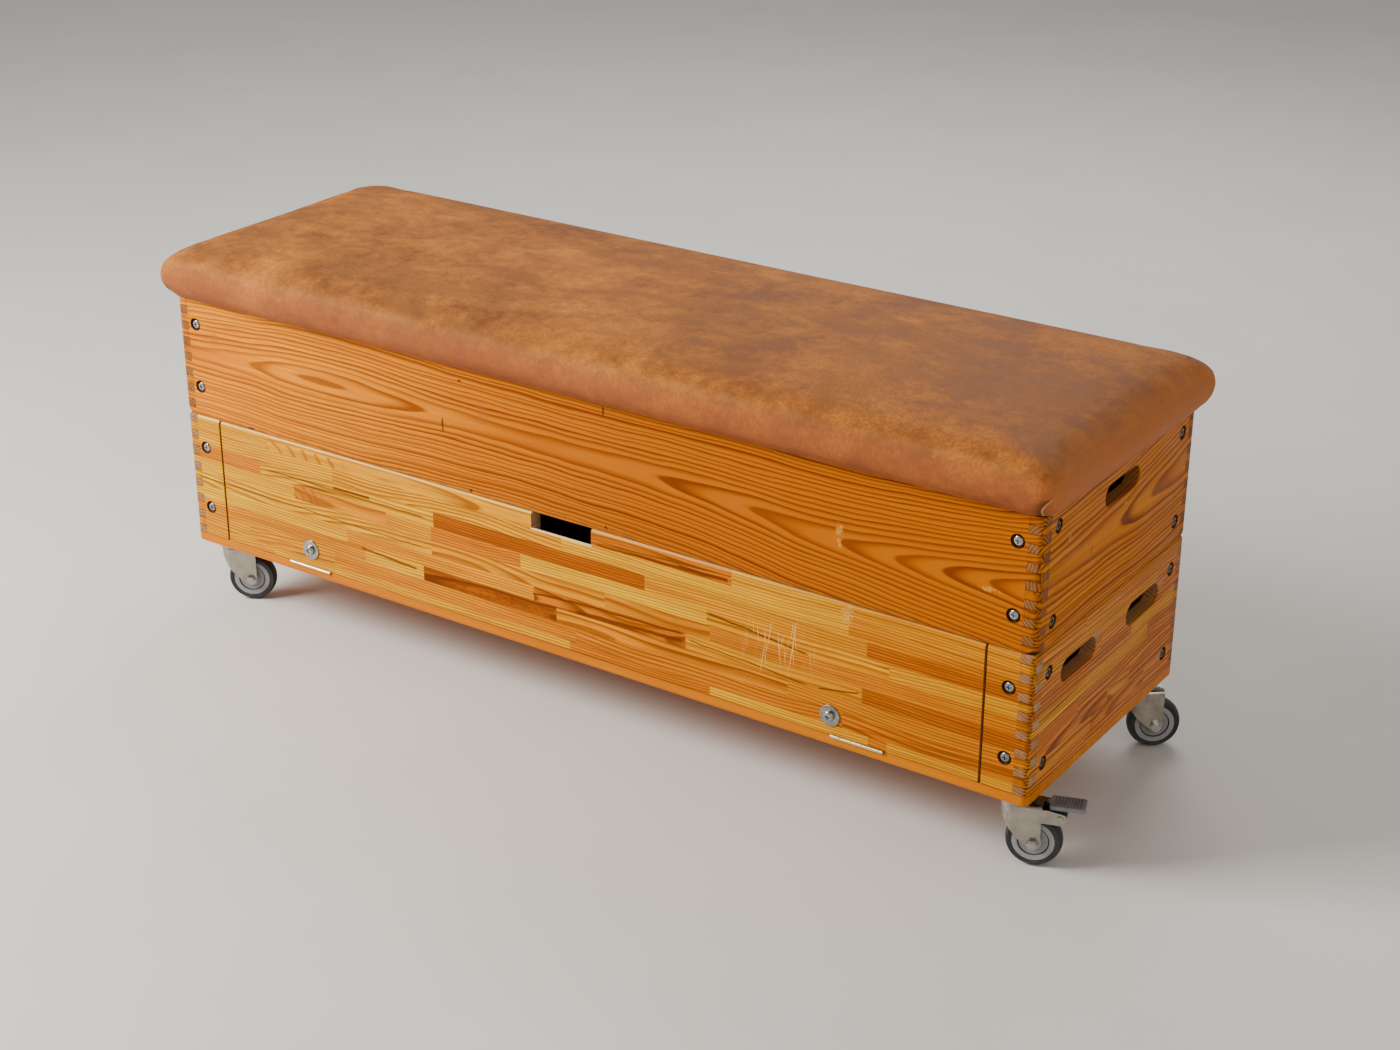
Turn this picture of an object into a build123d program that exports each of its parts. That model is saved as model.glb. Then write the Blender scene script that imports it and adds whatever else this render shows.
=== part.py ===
from build123d import *
import os
from math import cos, radians, sin

# Two-section vaulting box rebuilt as a chest on castors. Millimetres.
# Origin on the floor below the middle of the box, +X along its length, +Y to the back, +Z up.

# ---------------------------------------------------------------- driving dimensions
FRAME_L = 1450.0            # both box sections, over the end boards
FRAME_W = 446.0             # both box sections, over the long boards
BOARD_T = 21.0              # boards of the sections
CORNER_R = 9.0              # rounding of the vertical corners
CASTOR_H = 107.0            # floor to the underside of the base board
BASE_T = 14.0               # base board
LOWER_H = 200.0             # lower section
UPPER_H = 187.0             # upper section
FINGERS = 15                # finger joints in each corner
RIM_R = 6.0                 # round-over of the lower section's outer rim
UPPER_EDGE_R = 2.0          # softened lower rim of the upper section
FOOT_CUT = 18.0             # the upper section's lower corners are sanded off this far along the rim
FOOT_CUT_H = 11.0           # and this far up

POST = 38.0                 # square corner posts inside the sections
PEG_H = 22.0                # the lower posts stand this far into the upper section
PEG_GAP = 1.0               # play between a peg and the upper boards
PEG_TAPER = 5.0
UPPER_POST_LIFT = 25.0      # the upper posts start this far above their section's rim

SCREW_HEAD_D = 14.0         # corner screws
SCREW_HEAD_H = 4.4
SCREW_SHANK_D = 5.0
SCREW_L = 40.0
SCREW_BORE_D = 20.0         # counterbore
SCREW_BORE_DEPTH = 5.0
LONG_FACE_SCREW_X = 34.5    # from the corner, on the long faces
LONG_FACE_SCREW_Z = (48.0, 148.0)
END_FACE_SCREW_Y = 40.2     # from the corner, on the end faces
END_FACE_SCREW_Z = (33.0, 162.4)

HAND_HOLE_L = 101.0
HAND_HOLE_SOFT = 1.2        # softened mouth
LOWER_HOLE_H = 32.0
LOWER_HOLE_Y = 96.0         # two holes, each side of the middle
LOWER_HOLE_Z = 144.0        # above the section's underside
UPPER_HOLE_H = 30.0
UPPER_HOLE_Z = 150.0

BASE_EDGE_R = 1.5           # softened edges of the base board
BASE_SCREW = (9.0, 4.5, 45.0)           # head diameter, shank diameter, length
BASE_SCREWS_X = (-560, -280, 0, 280, 560)
BASE_SCREWS_Y = (-100, 0, 100)
PLATE_SCREW_HEAD_H = 4.0
PLATE_SCREW_END = 1.5       # wood left above the castor plate screws

KERF_X = 657.0              # saw kerfs beside the flap
KERF_W = 4.0
FLAP_GAP_BOTTOM = 0.6       # above the base board
FLAP_GAP_TOP = 1.2          # below the upper section
NOTCH_X = -6.0              # finger notch in the flap's top edge
NOTCH_L = 104.0
NOTCH_H = 26.0
NOTCH_R = 3.0
NOTCH_LIP = 3.0             # level part of the notch floor behind the front face
NOTCH_FALL = 11.0           # drop of the notch floor from there to the inner face
STOP_W = 26.0               # stop battens behind the flap's ends
STOP_T = 18.0
STOP_H = 160.0
STOP_GAP = 0.4
STOP_CHAMFER = 2.0
CATCH_Z = 150.0             # magnet catches, above the base board
CATCH_H = 40.0
MAGNET_W = 12.0
MAGNET_GAP = 2.1            # magnet face behind the flap's inner face
MAGNET_T = 13.9
CATCH_PLATE_W = 13.0
CATCH_PLATE_T = 1.6

HINGE_X = (-486.0, 477.0)   # middle of each butt hinge
HINGE_L = 80.0
KNUCKLES = 5
KNUCKLE_GAP = 0.3
BARREL_R = 2.4
HINGE_PIN_R = 1.5
HINGE_PLAY = 0.05
BARREL_OUT = 1.6            # pin axis in front of the front face
LEAF_T = 1.6
LEAF_W = 17.0
LEAF_SCREWS_X = (-28.0, 0.0, 28.0)
LEAF_SCREW = (5.6, 3.0, 11.0)           # head diameter, shank diameter, length
GROOVE_GAP = 0.4            # wood to barrel

BOLT_X = (-483.5, 434.5)    # through bolts of the flap
BOLT_Z = 29.6               # above the base board
BOLT_D = 6.0
BOLT_HEAD_D = 16.0
BOLT_HEAD_H = 5.0
WASHER_D = 31.0
WASHER_T = 2.0
INNER_WASHER_D = 18.0
INNER_WASHER_T = 1.6
NUT_AF = 10.0
NUT_H = 5.0
BOLT_END = 2.0              # bolt left standing out of its nut

PAD_L = 1500.0              # leather top
PAD_W = 496.0
PAD_H = 86.0
PAD_CORNER_R = 34.0
PAD_TOP_R = 33.0
PAD_BOTTOM_R = 25.0
LEATHER_T = 2.0
FOAM_GAP = 0.3
HEM_W = 19.0                # leather turned in between rim and top board
TOP_BOARD_L = 1444.0
TOP_BOARD_W = 440.0
TOP_BOARD_T = 15.0
RAIL = 28.0                 # rails under the top board
TOP_SCREWS_X = (-540.0, -180.0, 180.0, 540.0)
TOP_SCREW = (9.0, 4.5, 39.0)            # head diameter, shank diameter, length

CASTOR_X = 690.0            # swivel axes
CASTOR_Y = 183.6
TRAIL = 28.0                # swivel axis to wheel axle
WHEEL_R = 37.5
TYRE_W = 22.6
CORE_R = 27.8
RING_R = 21.0               # inner edge of the raised ring on each face of the core
RING_H = 1.3
RING_GROOVE = (1.4, 1.6)    # width, depth
HUB_R = 11.0
HUB_W = 28.0
PLATE = 60.0
PLATE_T = 2.5
PLATE_R = 8.0
PLATE_HOLES = 40.0          # square hole pattern
PLATE_SCREW_D = 6.0
CUP_R = 21.0                # fixed half of the swivel race
CUP_BOTTOM = 98.7
SKIRT_R = 19.2
SKIRT_BOTTOM = 94.8
RACE_R = 15.5
BALL_R = 1.9
BALLS = 12
FORK_HALF = 17.5
FORK_T = 2.5
FORK_TOP = 92.0
FORK_HEAD_R = 19.0
FORK_HEAD_T = 2.3
FORK_REAR = 37.5
FORK_LOW = 20.0             # the side view trims the channel above this height
FORK_NOSE_H = 8.0           # height of the round nose
FORK_FRONT = (-6.0, 59.0)   # middle of the front edge
FORK_TOE = (21.4, 32.2)     # where the front edge meets the axle boss
FORK_HEEL = (36.3, 36.1)    # where the rear edge meets it
FORK_HIP = 42.5             # height where the rear edge turns in towards the boss
FORK_EDGE_R = 4.0
FORK_BOSS_R = 8.5
KINGPIN_R = 6.0
KINGPIN_PLAY = 0.05
KINGPIN_HEAD_H = 4.0
KINGPIN_GAP = 0.3           # rivet head below the fork
AXLE_D = 8.0
SLEEVE_D = 12.0
AXLE_PLAY = 0.05
AXLE_AF = 13.0
AXLE_HEAD_H = 5.3
AXLE_NUT_H = 6.5
AXLE_END = 1.5              # bolt left standing out of its nut
AXLE_FACE_R = 5.0           # raised face on the bolt head
BRAKE_PIN_X = 61.0
BRAKE_PIN_Z = 78.0
BRAKE_PIN_R = 3.0
EAR_R = 8.6
EAR_TOP = 89.0
EAR_SHOULDER = 9.0          # level top of the brake ears behind the fork
CAM_HUB_R = 8.0
CAM_HALF = 11.0
CAM_LOBE_R = 4.6
CAM_REACH = 9.8             # brake pin to the middle of the lobe
CAM_NECK = (6.0, 8.0)       # neck up to the pedal, in front of and behind the pin
CAM_ANGLE = -107.0          # direction of the lobe with the brake off
PEDAL_X = (46.0, 92.0)
PEDAL_Z = (89.8, 95.4)
PEDAL_HALF = 15.0
PEDAL_CORNER_R = 4.0
PEDAL_EDGE_R = 1.5
PEDAL_GROOVES = 9
PEDAL_GROOVE = (1.6, 1.2)   # width, depth
PEDAL_END = 5.0             # plain ends
PEDAL_SIDE = 2.5            # plain sides
# castor name: side along X, side along Y, angle of its trail at rest, brake
CASTORS = {
    "front_left": (-1, -1, 31.0, False),
    "front_right": (1, -1, 19.0, True),
    "rear_left": (-1, 1, 199.0, True),
    "rear_right": (1, 1, 37.0, False),
}

# ---------------------------------------------------------------- derived levels and faces
BASE_TOP = CASTOR_H + BASE_T
LOWER_TOP = BASE_TOP + LOWER_H
UPPER_TOP = LOWER_TOP + UPPER_H
HALF_L = FRAME_L / 2
HALF_W = FRAME_W / 2
INNER_X = HALF_L - BOARD_T
INNER_Y = HALF_W - BOARD_T
FLAP_HALF = KERF_X - KERF_W / 2
HINGE_Y = -HALF_W - BARREL_OUT
HINGE_Z = BASE_TOP + FLAP_GAP_BOTTOM / 2
HEM_TOP = UPPER_TOP + LEATHER_T
CORNERS = [(sx, sy) for sx in (-1, 1) for sy in (-1, 1)]


# ---------------------------------------------------------------- helpers
def group(shapes):
    """One node of separate solids."""
    return Compound([solid for shape in shapes for solid in shape.solids()])


def block(x0, x1, y0, y1, z0, z1):
    """Box between two corners."""
    middle = Pos((x0 + x1) / 2, (y0 + y1) / 2, (z0 + z1) / 2)
    return middle * Box(abs(x1 - x0), abs(y1 - y0), abs(z1 - z0))


def facing(x, y, z, normal):
    """Place whose local +Z points along normal."""
    return Plane(origin=(x, y, z), z_dir=normal).location


def rod(radius, z0, z1):
    """Cylinder about the local Z axis between two heights."""
    return Pos(0, 0, (z0 + z1) / 2) * Cylinder(radius, abs(z1 - z0))


def hex_block(across_flats, z0, z1):
    """Hexagonal prism about the local Z axis."""
    outline = RegularPolygon(across_flats / 2, 6, major_radius=False)
    return Pos(0, 0, min(z0, z1)) * extrude(outline, abs(z1 - z0))


def pan_head(diameter, height, seat):
    """Domed head with a cross recess, its underside at height seat."""
    head = rod(diameter / 2, seat, seat + height)
    head = fillet(head.edges().group_by(Axis.Z)[-1], height * 0.6)
    slot_l = diameter * 0.52
    slot_w = diameter * 0.13
    cross = Box(slot_l, slot_w, height) + Box(slot_w, slot_l, height)
    return head - Pos(0, 0, seat + height) * cross


def countersunk_screw(head_d, shank_d, length):
    """Screw with a flat top at height 0 and its shank downwards."""
    head_h = (head_d - shank_d) / 2
    head = Pos(0, 0, -head_h / 2) * Cone(shank_d / 2, head_d / 2, head_h)
    return head + rod(shank_d / 2, -length, -head_h)


# ---------------------------------------------------------------- box sections
def section_block(z0, height, rim_r=0.0, foot_r=0.0):
    """Whole outline of a section, used to round the outside of its boards."""
    shape = block(-HALF_L, HALF_L, -HALF_W, HALF_W, z0, z0 + height)
    shape = fillet(shape.edges().filter_by(Axis.Z), CORNER_R)
    if rim_r:
        shape = fillet(shape.edges().group_by(Axis.Z)[-1], rim_r)
    if foot_r:
        shape = fillet(shape.edges().group_by(Axis.Z)[0], foot_r)
        shape = shape - [foot_corner(sx, sy, z0) for sx, sy in CORNERS]
    return shape


def foot_corner(sx, sy, z0):
    """Cutter for a sanded lower corner, standing on a slanted plane."""
    normal = (sx * FOOT_CUT_H, sy * FOOT_CUT_H, -FOOT_CUT)
    start = (sx * (HALF_L - FOOT_CUT), sy * HALF_W, z0)
    return Plane(origin=start, z_dir=normal).location * rod(2 * FOOT_CUT, 0, FOOT_CUT)


def finger_blocks(z0, height, first, sides_x):
    """The corner blocks of every second finger, from finger number first."""
    pitch = height / FINGERS
    blocks = []
    for number in range(first, FINGERS, 2):
        low = z0 + number * pitch
        for sx in sides_x:
            for sy in (-1, 1):
                x0, x1 = sorted((sx * INNER_X, sx * HALF_L))
                y0, y1 = sorted((sy * INNER_Y, sy * HALF_W))
                blocks.append(block(x0, x1, y0, y1, low, low + pitch))
    return blocks


def corner_screw_places(z0):
    """Places of a section's 16 corner screws, local +Z out of the box."""
    places = []
    for sx, sy in CORNERS:
        for dz in LONG_FACE_SCREW_Z:
            x = sx * (HALF_L - LONG_FACE_SCREW_X)
            places.append(facing(x, sy * HALF_W, z0 + dz, (0, sy, 0)))
        for dz in END_FACE_SCREW_Z:
            y = sy * (HALF_W - END_FACE_SCREW_Y)
            places.append(facing(sx * HALF_L, y, z0 + dz, (sx, 0, 0)))
    return places


def corner_screws(z0):
    """Pan-head screws through the boards into the corner posts."""
    screw = pan_head(SCREW_HEAD_D, SCREW_HEAD_H, -SCREW_BORE_DEPTH)
    screw += rod(SCREW_SHANK_D / 2, -SCREW_BORE_DEPTH - SCREW_L, -SCREW_BORE_DEPTH)
    return [place * screw for place in corner_screw_places(z0)]


def corner_screw_holes(z0):
    """Cutters for the counterbores and pilot holes."""
    bore = rod(SCREW_BORE_D / 2, -SCREW_BORE_DEPTH, 1)
    bore += rod(SCREW_SHANK_D / 2, -SCREW_BORE_DEPTH - SCREW_L, -SCREW_BORE_DEPTH)
    return [place * bore for place in corner_screw_places(z0)]


def long_board(side, z0, height, outline, end_first):
    """Front or back board of a section, notched for the end boards' fingers."""
    y0, y1 = sorted((side * INNER_Y, side * HALF_W))
    board = block(-HALF_L, HALF_L, y0, y1, z0, z0 + height)
    board = board - finger_blocks(z0, height, end_first, (-1, 1))
    return (board & outline) - corner_screw_holes(z0)


def end_board(side, z0, height, outline, end_first):
    """End board of a section with its own fingers."""
    x0, x1 = sorted((side * INNER_X, side * HALF_L))
    board = block(x0, x1, -INNER_Y, INNER_Y, z0, z0 + height)
    board = board + finger_blocks(z0, height, end_first, (side,))
    return (board & outline) - corner_screw_holes(z0)


def hand_hole(side, y, z, height):
    """Cutter for a stadium-shaped hand hole with softened mouths."""
    slot = SlotOverall(HAND_HOLE_L, height)
    through = extrude(slot, BOARD_T, both=True)
    flare = Pos(0, 0, BOARD_T / 2 - HAND_HOLE_SOFT) * extrude(slot, 2 * HAND_HOLE_SOFT, taper=-45)
    cutter = through + flare + Rot(180, 0, 0) * flare
    place = Plane(origin=(side * (HALF_L - BOARD_T / 2), y, z), x_dir=(0, 1, 0), z_dir=(1, 0, 0))
    return place.location * cutter


def post(sx, sy, z0, z1, inset=0.0):
    """Square post in an inner corner."""
    x0, x1 = sorted((sx * (INNER_X - POST + inset), sx * (INNER_X - inset)))
    y0, y1 = sorted((sy * (INNER_Y - POST + inset), sy * (INNER_Y - inset)))
    return block(x0, x1, y0, y1, z0, z1)


def lower_posts():
    """Posts whose tapered tops locate the upper section."""
    posts = []
    for sx, sy in CORNERS:
        peg = post(sx, sy, LOWER_TOP, LOWER_TOP + PEG_H, PEG_GAP)
        peg = chamfer(peg.edges().group_by(Axis.Z)[-1], PEG_TAPER)
        posts.append((post(sx, sy, BASE_TOP, LOWER_TOP) + peg) - corner_screw_holes(BASE_TOP))
    return group(posts)


def upper_posts():
    """Posts that start clear above the lower section's pegs."""
    low = LOWER_TOP + UPPER_POST_LIFT
    posts = [post(sx, sy, low, HEM_TOP) - corner_screw_holes(LOWER_TOP) for sx, sy in CORNERS]
    return group(posts)


# ---------------------------------------------------------------- base board
def castor_screw_places():
    """Screw places under the four plates, local +Z up."""
    half = PLATE_HOLES / 2
    under = CASTOR_H - PLATE_T
    places = []
    for name in CASTORS:
        sx, sy = CASTORS[name][:2]
        for dx, dy in CORNERS:
            places.append(Pos(sx * CASTOR_X + dx * half, sy * CASTOR_Y + dy * half, under))
    return places


def base_screw_places():
    """Countersunk screws up into the back and end boards, local +Z down."""
    row = HALF_W - BOARD_T / 2
    spots = [(x, row) for x in BASE_SCREWS_X]
    spots += [(side * (HALF_L - BOARD_T / 2), y) for side in (-1, 1) for y in BASE_SCREWS_Y]
    return [facing(x, y, CASTOR_H, (0, 0, -1)) for x, y in spots]


def base_screw():
    return countersunk_screw(*BASE_SCREW)


def plate_screw_shank():
    """Shank through the plate, ending just inside the base board."""
    return rod(PLATE_SCREW_D / 2, 0, PLATE_T + BASE_T - PLATE_SCREW_END)


def plate_screw():
    """Hexagon screw, its head below the plate and its shank up in the base board."""
    return hex_block(NUT_AF, -PLATE_SCREW_HEAD_H, 0) + plate_screw_shank()


def base_board():
    board = block(-HALF_L, HALF_L, -HALF_W, HALF_W, CASTOR_H, BASE_TOP)
    board = fillet(board.edges().filter_by(Axis.Z), CORNER_R)
    levels = board.edges().group_by(Axis.Z)
    board = fillet(levels[-1] + levels[0], BASE_EDGE_R)
    holes = [place * base_screw() for place in base_screw_places()]
    holes += [place * plate_screw_shank() for place in castor_screw_places()]
    holes += hinge_grooves() + leaf_pockets(-1)
    holes += [place * leaf_screw() for place in leaf_screw_places(-1)]
    return board - holes


# ---------------------------------------------------------------- hinges and flap
def along_x(x, y, z):
    """Place whose local +Z runs along +X."""
    return Plane(origin=(x, y, z), x_dir=(0, 1, 0), z_dir=(1, 0, 0)).location


def hinge_grooves():
    """Clearance for the barrels in the base board's and the flap's edges."""
    half = HINGE_L / 2 + 2 * GROOVE_GAP
    return [along_x(x, HINGE_Y, HINGE_Z) * rod(BARREL_R + GROOVE_GAP, -half, half) for x in HINGE_X]


def leaf_plate(x, level):
    """Flat plate of a leaf: level -1 lies in the base board, +1 in the flap."""
    near = HINGE_Y + BARREL_R + KNUCKLE_GAP
    z0 = HINGE_Z + level * FLAP_GAP_BOTTOM / 2
    return block(x - HINGE_L / 2, x + HINGE_L / 2, near, near + LEAF_W, z0, z0 + level * LEAF_T)


def leaf_pockets(level):
    """Pockets for the leaves, open to the barrels."""
    half = HINGE_L / 2
    z0 = HINGE_Z + level * FLAP_GAP_BOTTOM / 2
    end = HINGE_Y + BARREL_R + KNUCKLE_GAP + LEAF_W
    return [block(x - half, x + half, HINGE_Y, end, z0, z0 + level * LEAF_T) for x in HINGE_X]


def leaf_screw():
    return countersunk_screw(*LEAF_SCREW)


def leaf_screw_places(level):
    """Countersunk screws of the base leaves (level -1) or flap leaves (+1)."""
    y = HINGE_Y + BARREL_R + KNUCKLE_GAP + LEAF_W / 2
    z = HINGE_Z + level * FLAP_GAP_BOTTOM / 2
    return [facing(x + dx, y, z, (0, 0, -level)) for x in HINGE_X for dx in LEAF_SCREWS_X]


def hinge_leaf(x, level):
    """Leaf with its own knuckles: 0, 2, 4 on the base leaf and 1, 3 on the flap leaf."""
    pitch = HINGE_L / KNUCKLES
    leaf = leaf_plate(x, level)
    z0 = HINGE_Z + level * FLAP_GAP_BOTTOM / 2
    for number in range(0 if level < 0 else 1, KNUCKLES, 2):
        start = x - HINGE_L / 2 + number * pitch + KNUCKLE_GAP / 2
        end = start + pitch - KNUCKLE_GAP
        leaf += along_x(0, HINGE_Y, HINGE_Z) * rod(BARREL_R, start, end)
        leaf += block(start, end, HINGE_Y, HINGE_Y + BARREL_R + KNUCKLE_GAP, z0, z0 + level * LEAF_T)
    bore = HINGE_PIN_R + (HINGE_PLAY if level > 0 else 0)
    leaf -= along_x(x, HINGE_Y, HINGE_Z) * rod(bore, -HINGE_L, HINGE_L)
    return leaf - [place * leaf_screw() for place in leaf_screw_places(level)]


def hinge_pins():
    half = HINGE_L / 2
    return group([along_x(x, HINGE_Y, HINGE_Z) * rod(HINGE_PIN_R, -half, half) for x in HINGE_X])


def bolt_places():
    """Through bolts of the flap, local +Z out of the front face."""
    return [facing(x, -HALF_W, BASE_TOP + BOLT_Z, (0, -1, 0)) for x in BOLT_X]


def notch_floor(x0, z0):
    """Cutter under the notch: its floor falls inwards behind a level lip."""
    lip, inner, high = -HALF_W + NOTCH_LIP, -INNER_Y, z0 + NOTCH_R
    slope = Polygon((lip, z0), (inner, z0 - NOTCH_FALL), (inner, high), (lip, high), align=None)
    return along_x(x0, 0, 0) * extrude(slope, NOTCH_L)


def flap_panel():
    """Drop front between the kerfs, with the finger notch in its top edge."""
    z0 = BASE_TOP + FLAP_GAP_BOTTOM
    z1 = LOWER_TOP - FLAP_GAP_TOP
    panel = block(-FLAP_HALF, FLAP_HALF, -HALF_W, -INNER_Y, z0, z1)
    top_outer = panel.edges().filter_by(Axis.X).group_by(Axis.Z)[-1].sort_by(Axis.Y)[0]
    panel = fillet(top_outer, RIM_R)
    notch_x0 = NOTCH_X - NOTCH_L / 2
    notch_z0 = LOWER_TOP - NOTCH_H
    notch = block(notch_x0, notch_x0 + NOTCH_L, -HALF_W - 1, -INNER_Y + 1, notch_z0, LOWER_TOP)
    notch = fillet(notch.edges().filter_by(Axis.Y).group_by(Axis.Z)[0], NOTCH_R)
    notch += notch_floor(notch_x0, notch_z0)
    holes = hinge_grooves() + leaf_pockets(1)
    holes += [place * leaf_screw() for place in leaf_screw_places(1)]
    holes += [place * rod(BOLT_D / 2, -BOARD_T - 1, 1) for place in bolt_places()]
    return panel - notch - holes


def flap_bolt():
    length = BOARD_T + INNER_WASHER_T + NUT_H + BOLT_END
    return pan_head(BOLT_HEAD_D, BOLT_HEAD_H, WASHER_T) + rod(BOLT_D / 2, -length, WASHER_T)


def flap_washer():
    washer = rod(WASHER_D / 2, 0, WASHER_T)
    washer = fillet(washer.edges().group_by(Axis.Z)[-1], WASHER_T * 0.4)
    return washer - rod(BOLT_D / 2, -1, WASHER_T + 1)


def flap_inner_washer():
    face = -BOARD_T - INNER_WASHER_T
    return rod(INNER_WASHER_D / 2, face, -BOARD_T) - rod(BOLT_D / 2, face - 1, 0)


def flap_nut():
    top = -BOARD_T - INNER_WASHER_T
    return hex_block(NUT_AF, top - NUT_H, top) - rod(BOLT_D / 2, top - NUT_H - 1, 0)


def stile(side):
    """Fixed piece of the front board beside the flap."""
    outline = section_block(BASE_TOP, LOWER_H, rim_r=RIM_R)
    board = long_board(-1, BASE_TOP, LOWER_H, outline, 0)
    inner = KERF_X + KERF_W / 2
    x0, x1 = sorted((side * inner, side * (HALF_L + 1)))
    return board & block(x0, x1, -HALF_W, -INNER_Y, BASE_TOP, LOWER_TOP)


def flap_stop(side):
    """Batten on the side of a front post that the closed flap rests near."""
    outer = INNER_X - POST
    x0, x1 = sorted((side * (outer - STOP_W), side * outer))
    y0 = -INNER_Y + STOP_GAP
    batten = block(x0, x1, y0, y0 + STOP_T, BASE_TOP, BASE_TOP + STOP_H)
    return chamfer(batten.edges().group_by(Axis.Z)[-1], STOP_CHAMFER)


def catch_magnet(side):
    """Magnet block on the inner side of a stop batten."""
    outer = INNER_X - POST - STOP_W
    x0, x1 = sorted((side * (outer - MAGNET_W), side * outer))
    y0 = -INNER_Y + MAGNET_GAP
    top = BASE_TOP + CATCH_Z
    return block(x0, x1, y0, y0 + MAGNET_T, top - CATCH_H, top)


def catch_plate(side):
    """Steel plate on the flap's inner face, opposite the magnet."""
    outer = INNER_X - POST - STOP_W - 1.0
    x0, x1 = sorted((side * (outer - CATCH_PLATE_W), side * outer))
    top = BASE_TOP + CATCH_Z
    return block(x0, x1, -INNER_Y, -INNER_Y + CATCH_PLATE_T, top - CATCH_H, top)


# ---------------------------------------------------------------- leather top
def pad_block(inset):
    """Outline of the padded top, drawn in by inset on every side."""
    shape = block(-PAD_L / 2 + inset, PAD_L / 2 - inset, -PAD_W / 2 + inset, PAD_W / 2 - inset,
                  UPPER_TOP + inset, UPPER_TOP + PAD_H - inset)
    shape = fillet(shape.edges().filter_by(Axis.Z), PAD_CORNER_R - inset)
    shape = fillet(shape.edges().group_by(Axis.Z)[-1], PAD_TOP_R - inset)
    return fillet(shape.edges().group_by(Axis.Z)[0], PAD_BOTTOM_R - inset)


def top_board_blank():
    board = block(-TOP_BOARD_L / 2, TOP_BOARD_L / 2, -TOP_BOARD_W / 2, TOP_BOARD_W / 2,
                  HEM_TOP, HEM_TOP + TOP_BOARD_T)
    return fillet(board.edges().filter_by(Axis.Z), CORNER_R)


def top_screw_places():
    """Screws up through the rails into the top board, local +Z down."""
    y = INNER_Y - RAIL / 2
    return [facing(x, side * y, HEM_TOP - RAIL, (0, 0, -1)) for side in (-1, 1) for x in TOP_SCREWS_X]


def top_screw():
    return countersunk_screw(*TOP_SCREW)


def top_rails():
    end = INNER_X - POST
    rails = []
    for side in (-1, 1):
        y0, y1 = sorted((side * (INNER_Y - RAIL), side * INNER_Y))
        rail = block(-end, end, y0, y1, HEM_TOP - RAIL, HEM_TOP)
        rails.append(rail - [place * top_screw() for place in top_screw_places()])
    return group(rails)


def top_board():
    return top_board_blank() - [place * top_screw() for place in top_screw_places()]


def foam_pad():
    """Foam over and around the top board."""
    return pad_block(LEATHER_T + FOAM_GAP) - top_board_blank()


def leather_cover():
    """Leather skin, turned in under the top board on the rim of the section."""
    mouth_x = HALF_L - HEM_W
    mouth_y = HALF_W - HEM_W
    mouth = block(-mouth_x, mouth_x, -mouth_y, mouth_y, UPPER_TOP - 1, HEM_TOP + 1)
    return pad_block(0) - pad_block(LEATHER_T) - mouth


# ---------------------------------------------------------------- castors
# Castor shapes are drawn with the swivel axis on Z, the floor at height 0 and the wheel
# trailing along +X, then turned and moved to their corner.
def castor_place(name):
    sx, sy, angle = CASTORS[name][:3]
    return Pos(sx * CASTOR_X, sy * CASTOR_Y, 0) * Rot(0, 0, angle)


def across(x, z):
    """Place whose local +Z runs across the castor, along +Y."""
    return Plane(origin=(x, 0, z), x_dir=(1, 0, 0), z_dir=(0, 1, 0)).location


def upright(sketch, half):
    """Side outline drawn in X and height, extruded to half each way across the castor."""
    return Rot(90, 0, 0) * extrude(sketch, half, both=True)


def castor_plate():
    """Top plate with the fixed cup of the swivel race."""
    plate = Pos(0, 0, CASTOR_H - PLATE_T) * extrude(RectangleRounded(PLATE, PLATE, PLATE_R), PLATE_T)
    cup = rod(CUP_R, SKIRT_BOTTOM, CASTOR_H - PLATE_T) - rod(SKIRT_R, SKIRT_BOTTOM - 1, CUP_BOTTOM)
    half = PLATE_HOLES / 2
    hole = rod(PLATE_SCREW_D / 2, CASTOR_H - 2 * PLATE_T, CASTOR_H + 1)
    holes = [Pos(dx * half, dy * half, 0) * hole for dx, dy in CORNERS]
    return plate + cup - holes - rod(KINGPIN_R, 0, CASTOR_H - PLATE_T)


def kingpin():
    """Rivet that holds the fork up to the plate."""
    head_top = FORK_TOP - FORK_T - KINGPIN_GAP
    head = rod(KINGPIN_R * 1.5, head_top - KINGPIN_HEAD_H, head_top)
    return head + rod(KINGPIN_R, head_top, CASTOR_H - PLATE_T)


def race_balls():
    balls = []
    for number in range(BALLS):
        angle = radians(number * 360 / BALLS)
        spot = Pos(RACE_R * cos(angle), RACE_R * sin(angle), CUP_BOTTOM - BALL_R)
        balls.append(spot * Sphere(BALL_R))
    return balls


def fork_channel(half, top):
    """Round-nosed channel, open to the back and below."""
    low = FORK_LOW
    return rod(half, low, top) + block(0, BRAKE_PIN_X + EAR_R + 1, -half, half, low, top)


def fork_outline(braked):
    """Side view of the fork in X and height."""
    nose = (-FORK_HALF, FORK_TOP - FORK_NOSE_H)
    above = FORK_TOP + FORK_HEAD_T
    front = ThreePointArc(nose, FORK_FRONT, FORK_TOE)
    rear_low, rear_high = (FORK_REAR, FORK_HIP), (FORK_REAR, above)
    rest = Polyline(FORK_TOE, FORK_HEEL, rear_low, rear_high, (-FORK_HALF, above), nose)
    outline = make_face([front, rest]) + Pos(TRAIL, WHEEL_R) * Circle(FORK_BOSS_R)
    if braked:
        tip_top = (BRAKE_PIN_X, BRAKE_PIN_Z + EAR_R)
        tip_low = (BRAKE_PIN_X, BRAKE_PIN_Z - EAR_R)
        root = FORK_REAR - 2
        shoulder = (FORK_REAR + EAR_SHOULDER, EAR_TOP)
        ear = Polygon((root, EAR_TOP), shoulder, tip_top, tip_low, (root, tip_low[1]), align=None)
        outline += ear + Pos(BRAKE_PIN_X, BRAKE_PIN_Z) * Circle(EAR_R)
    return outline


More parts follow.
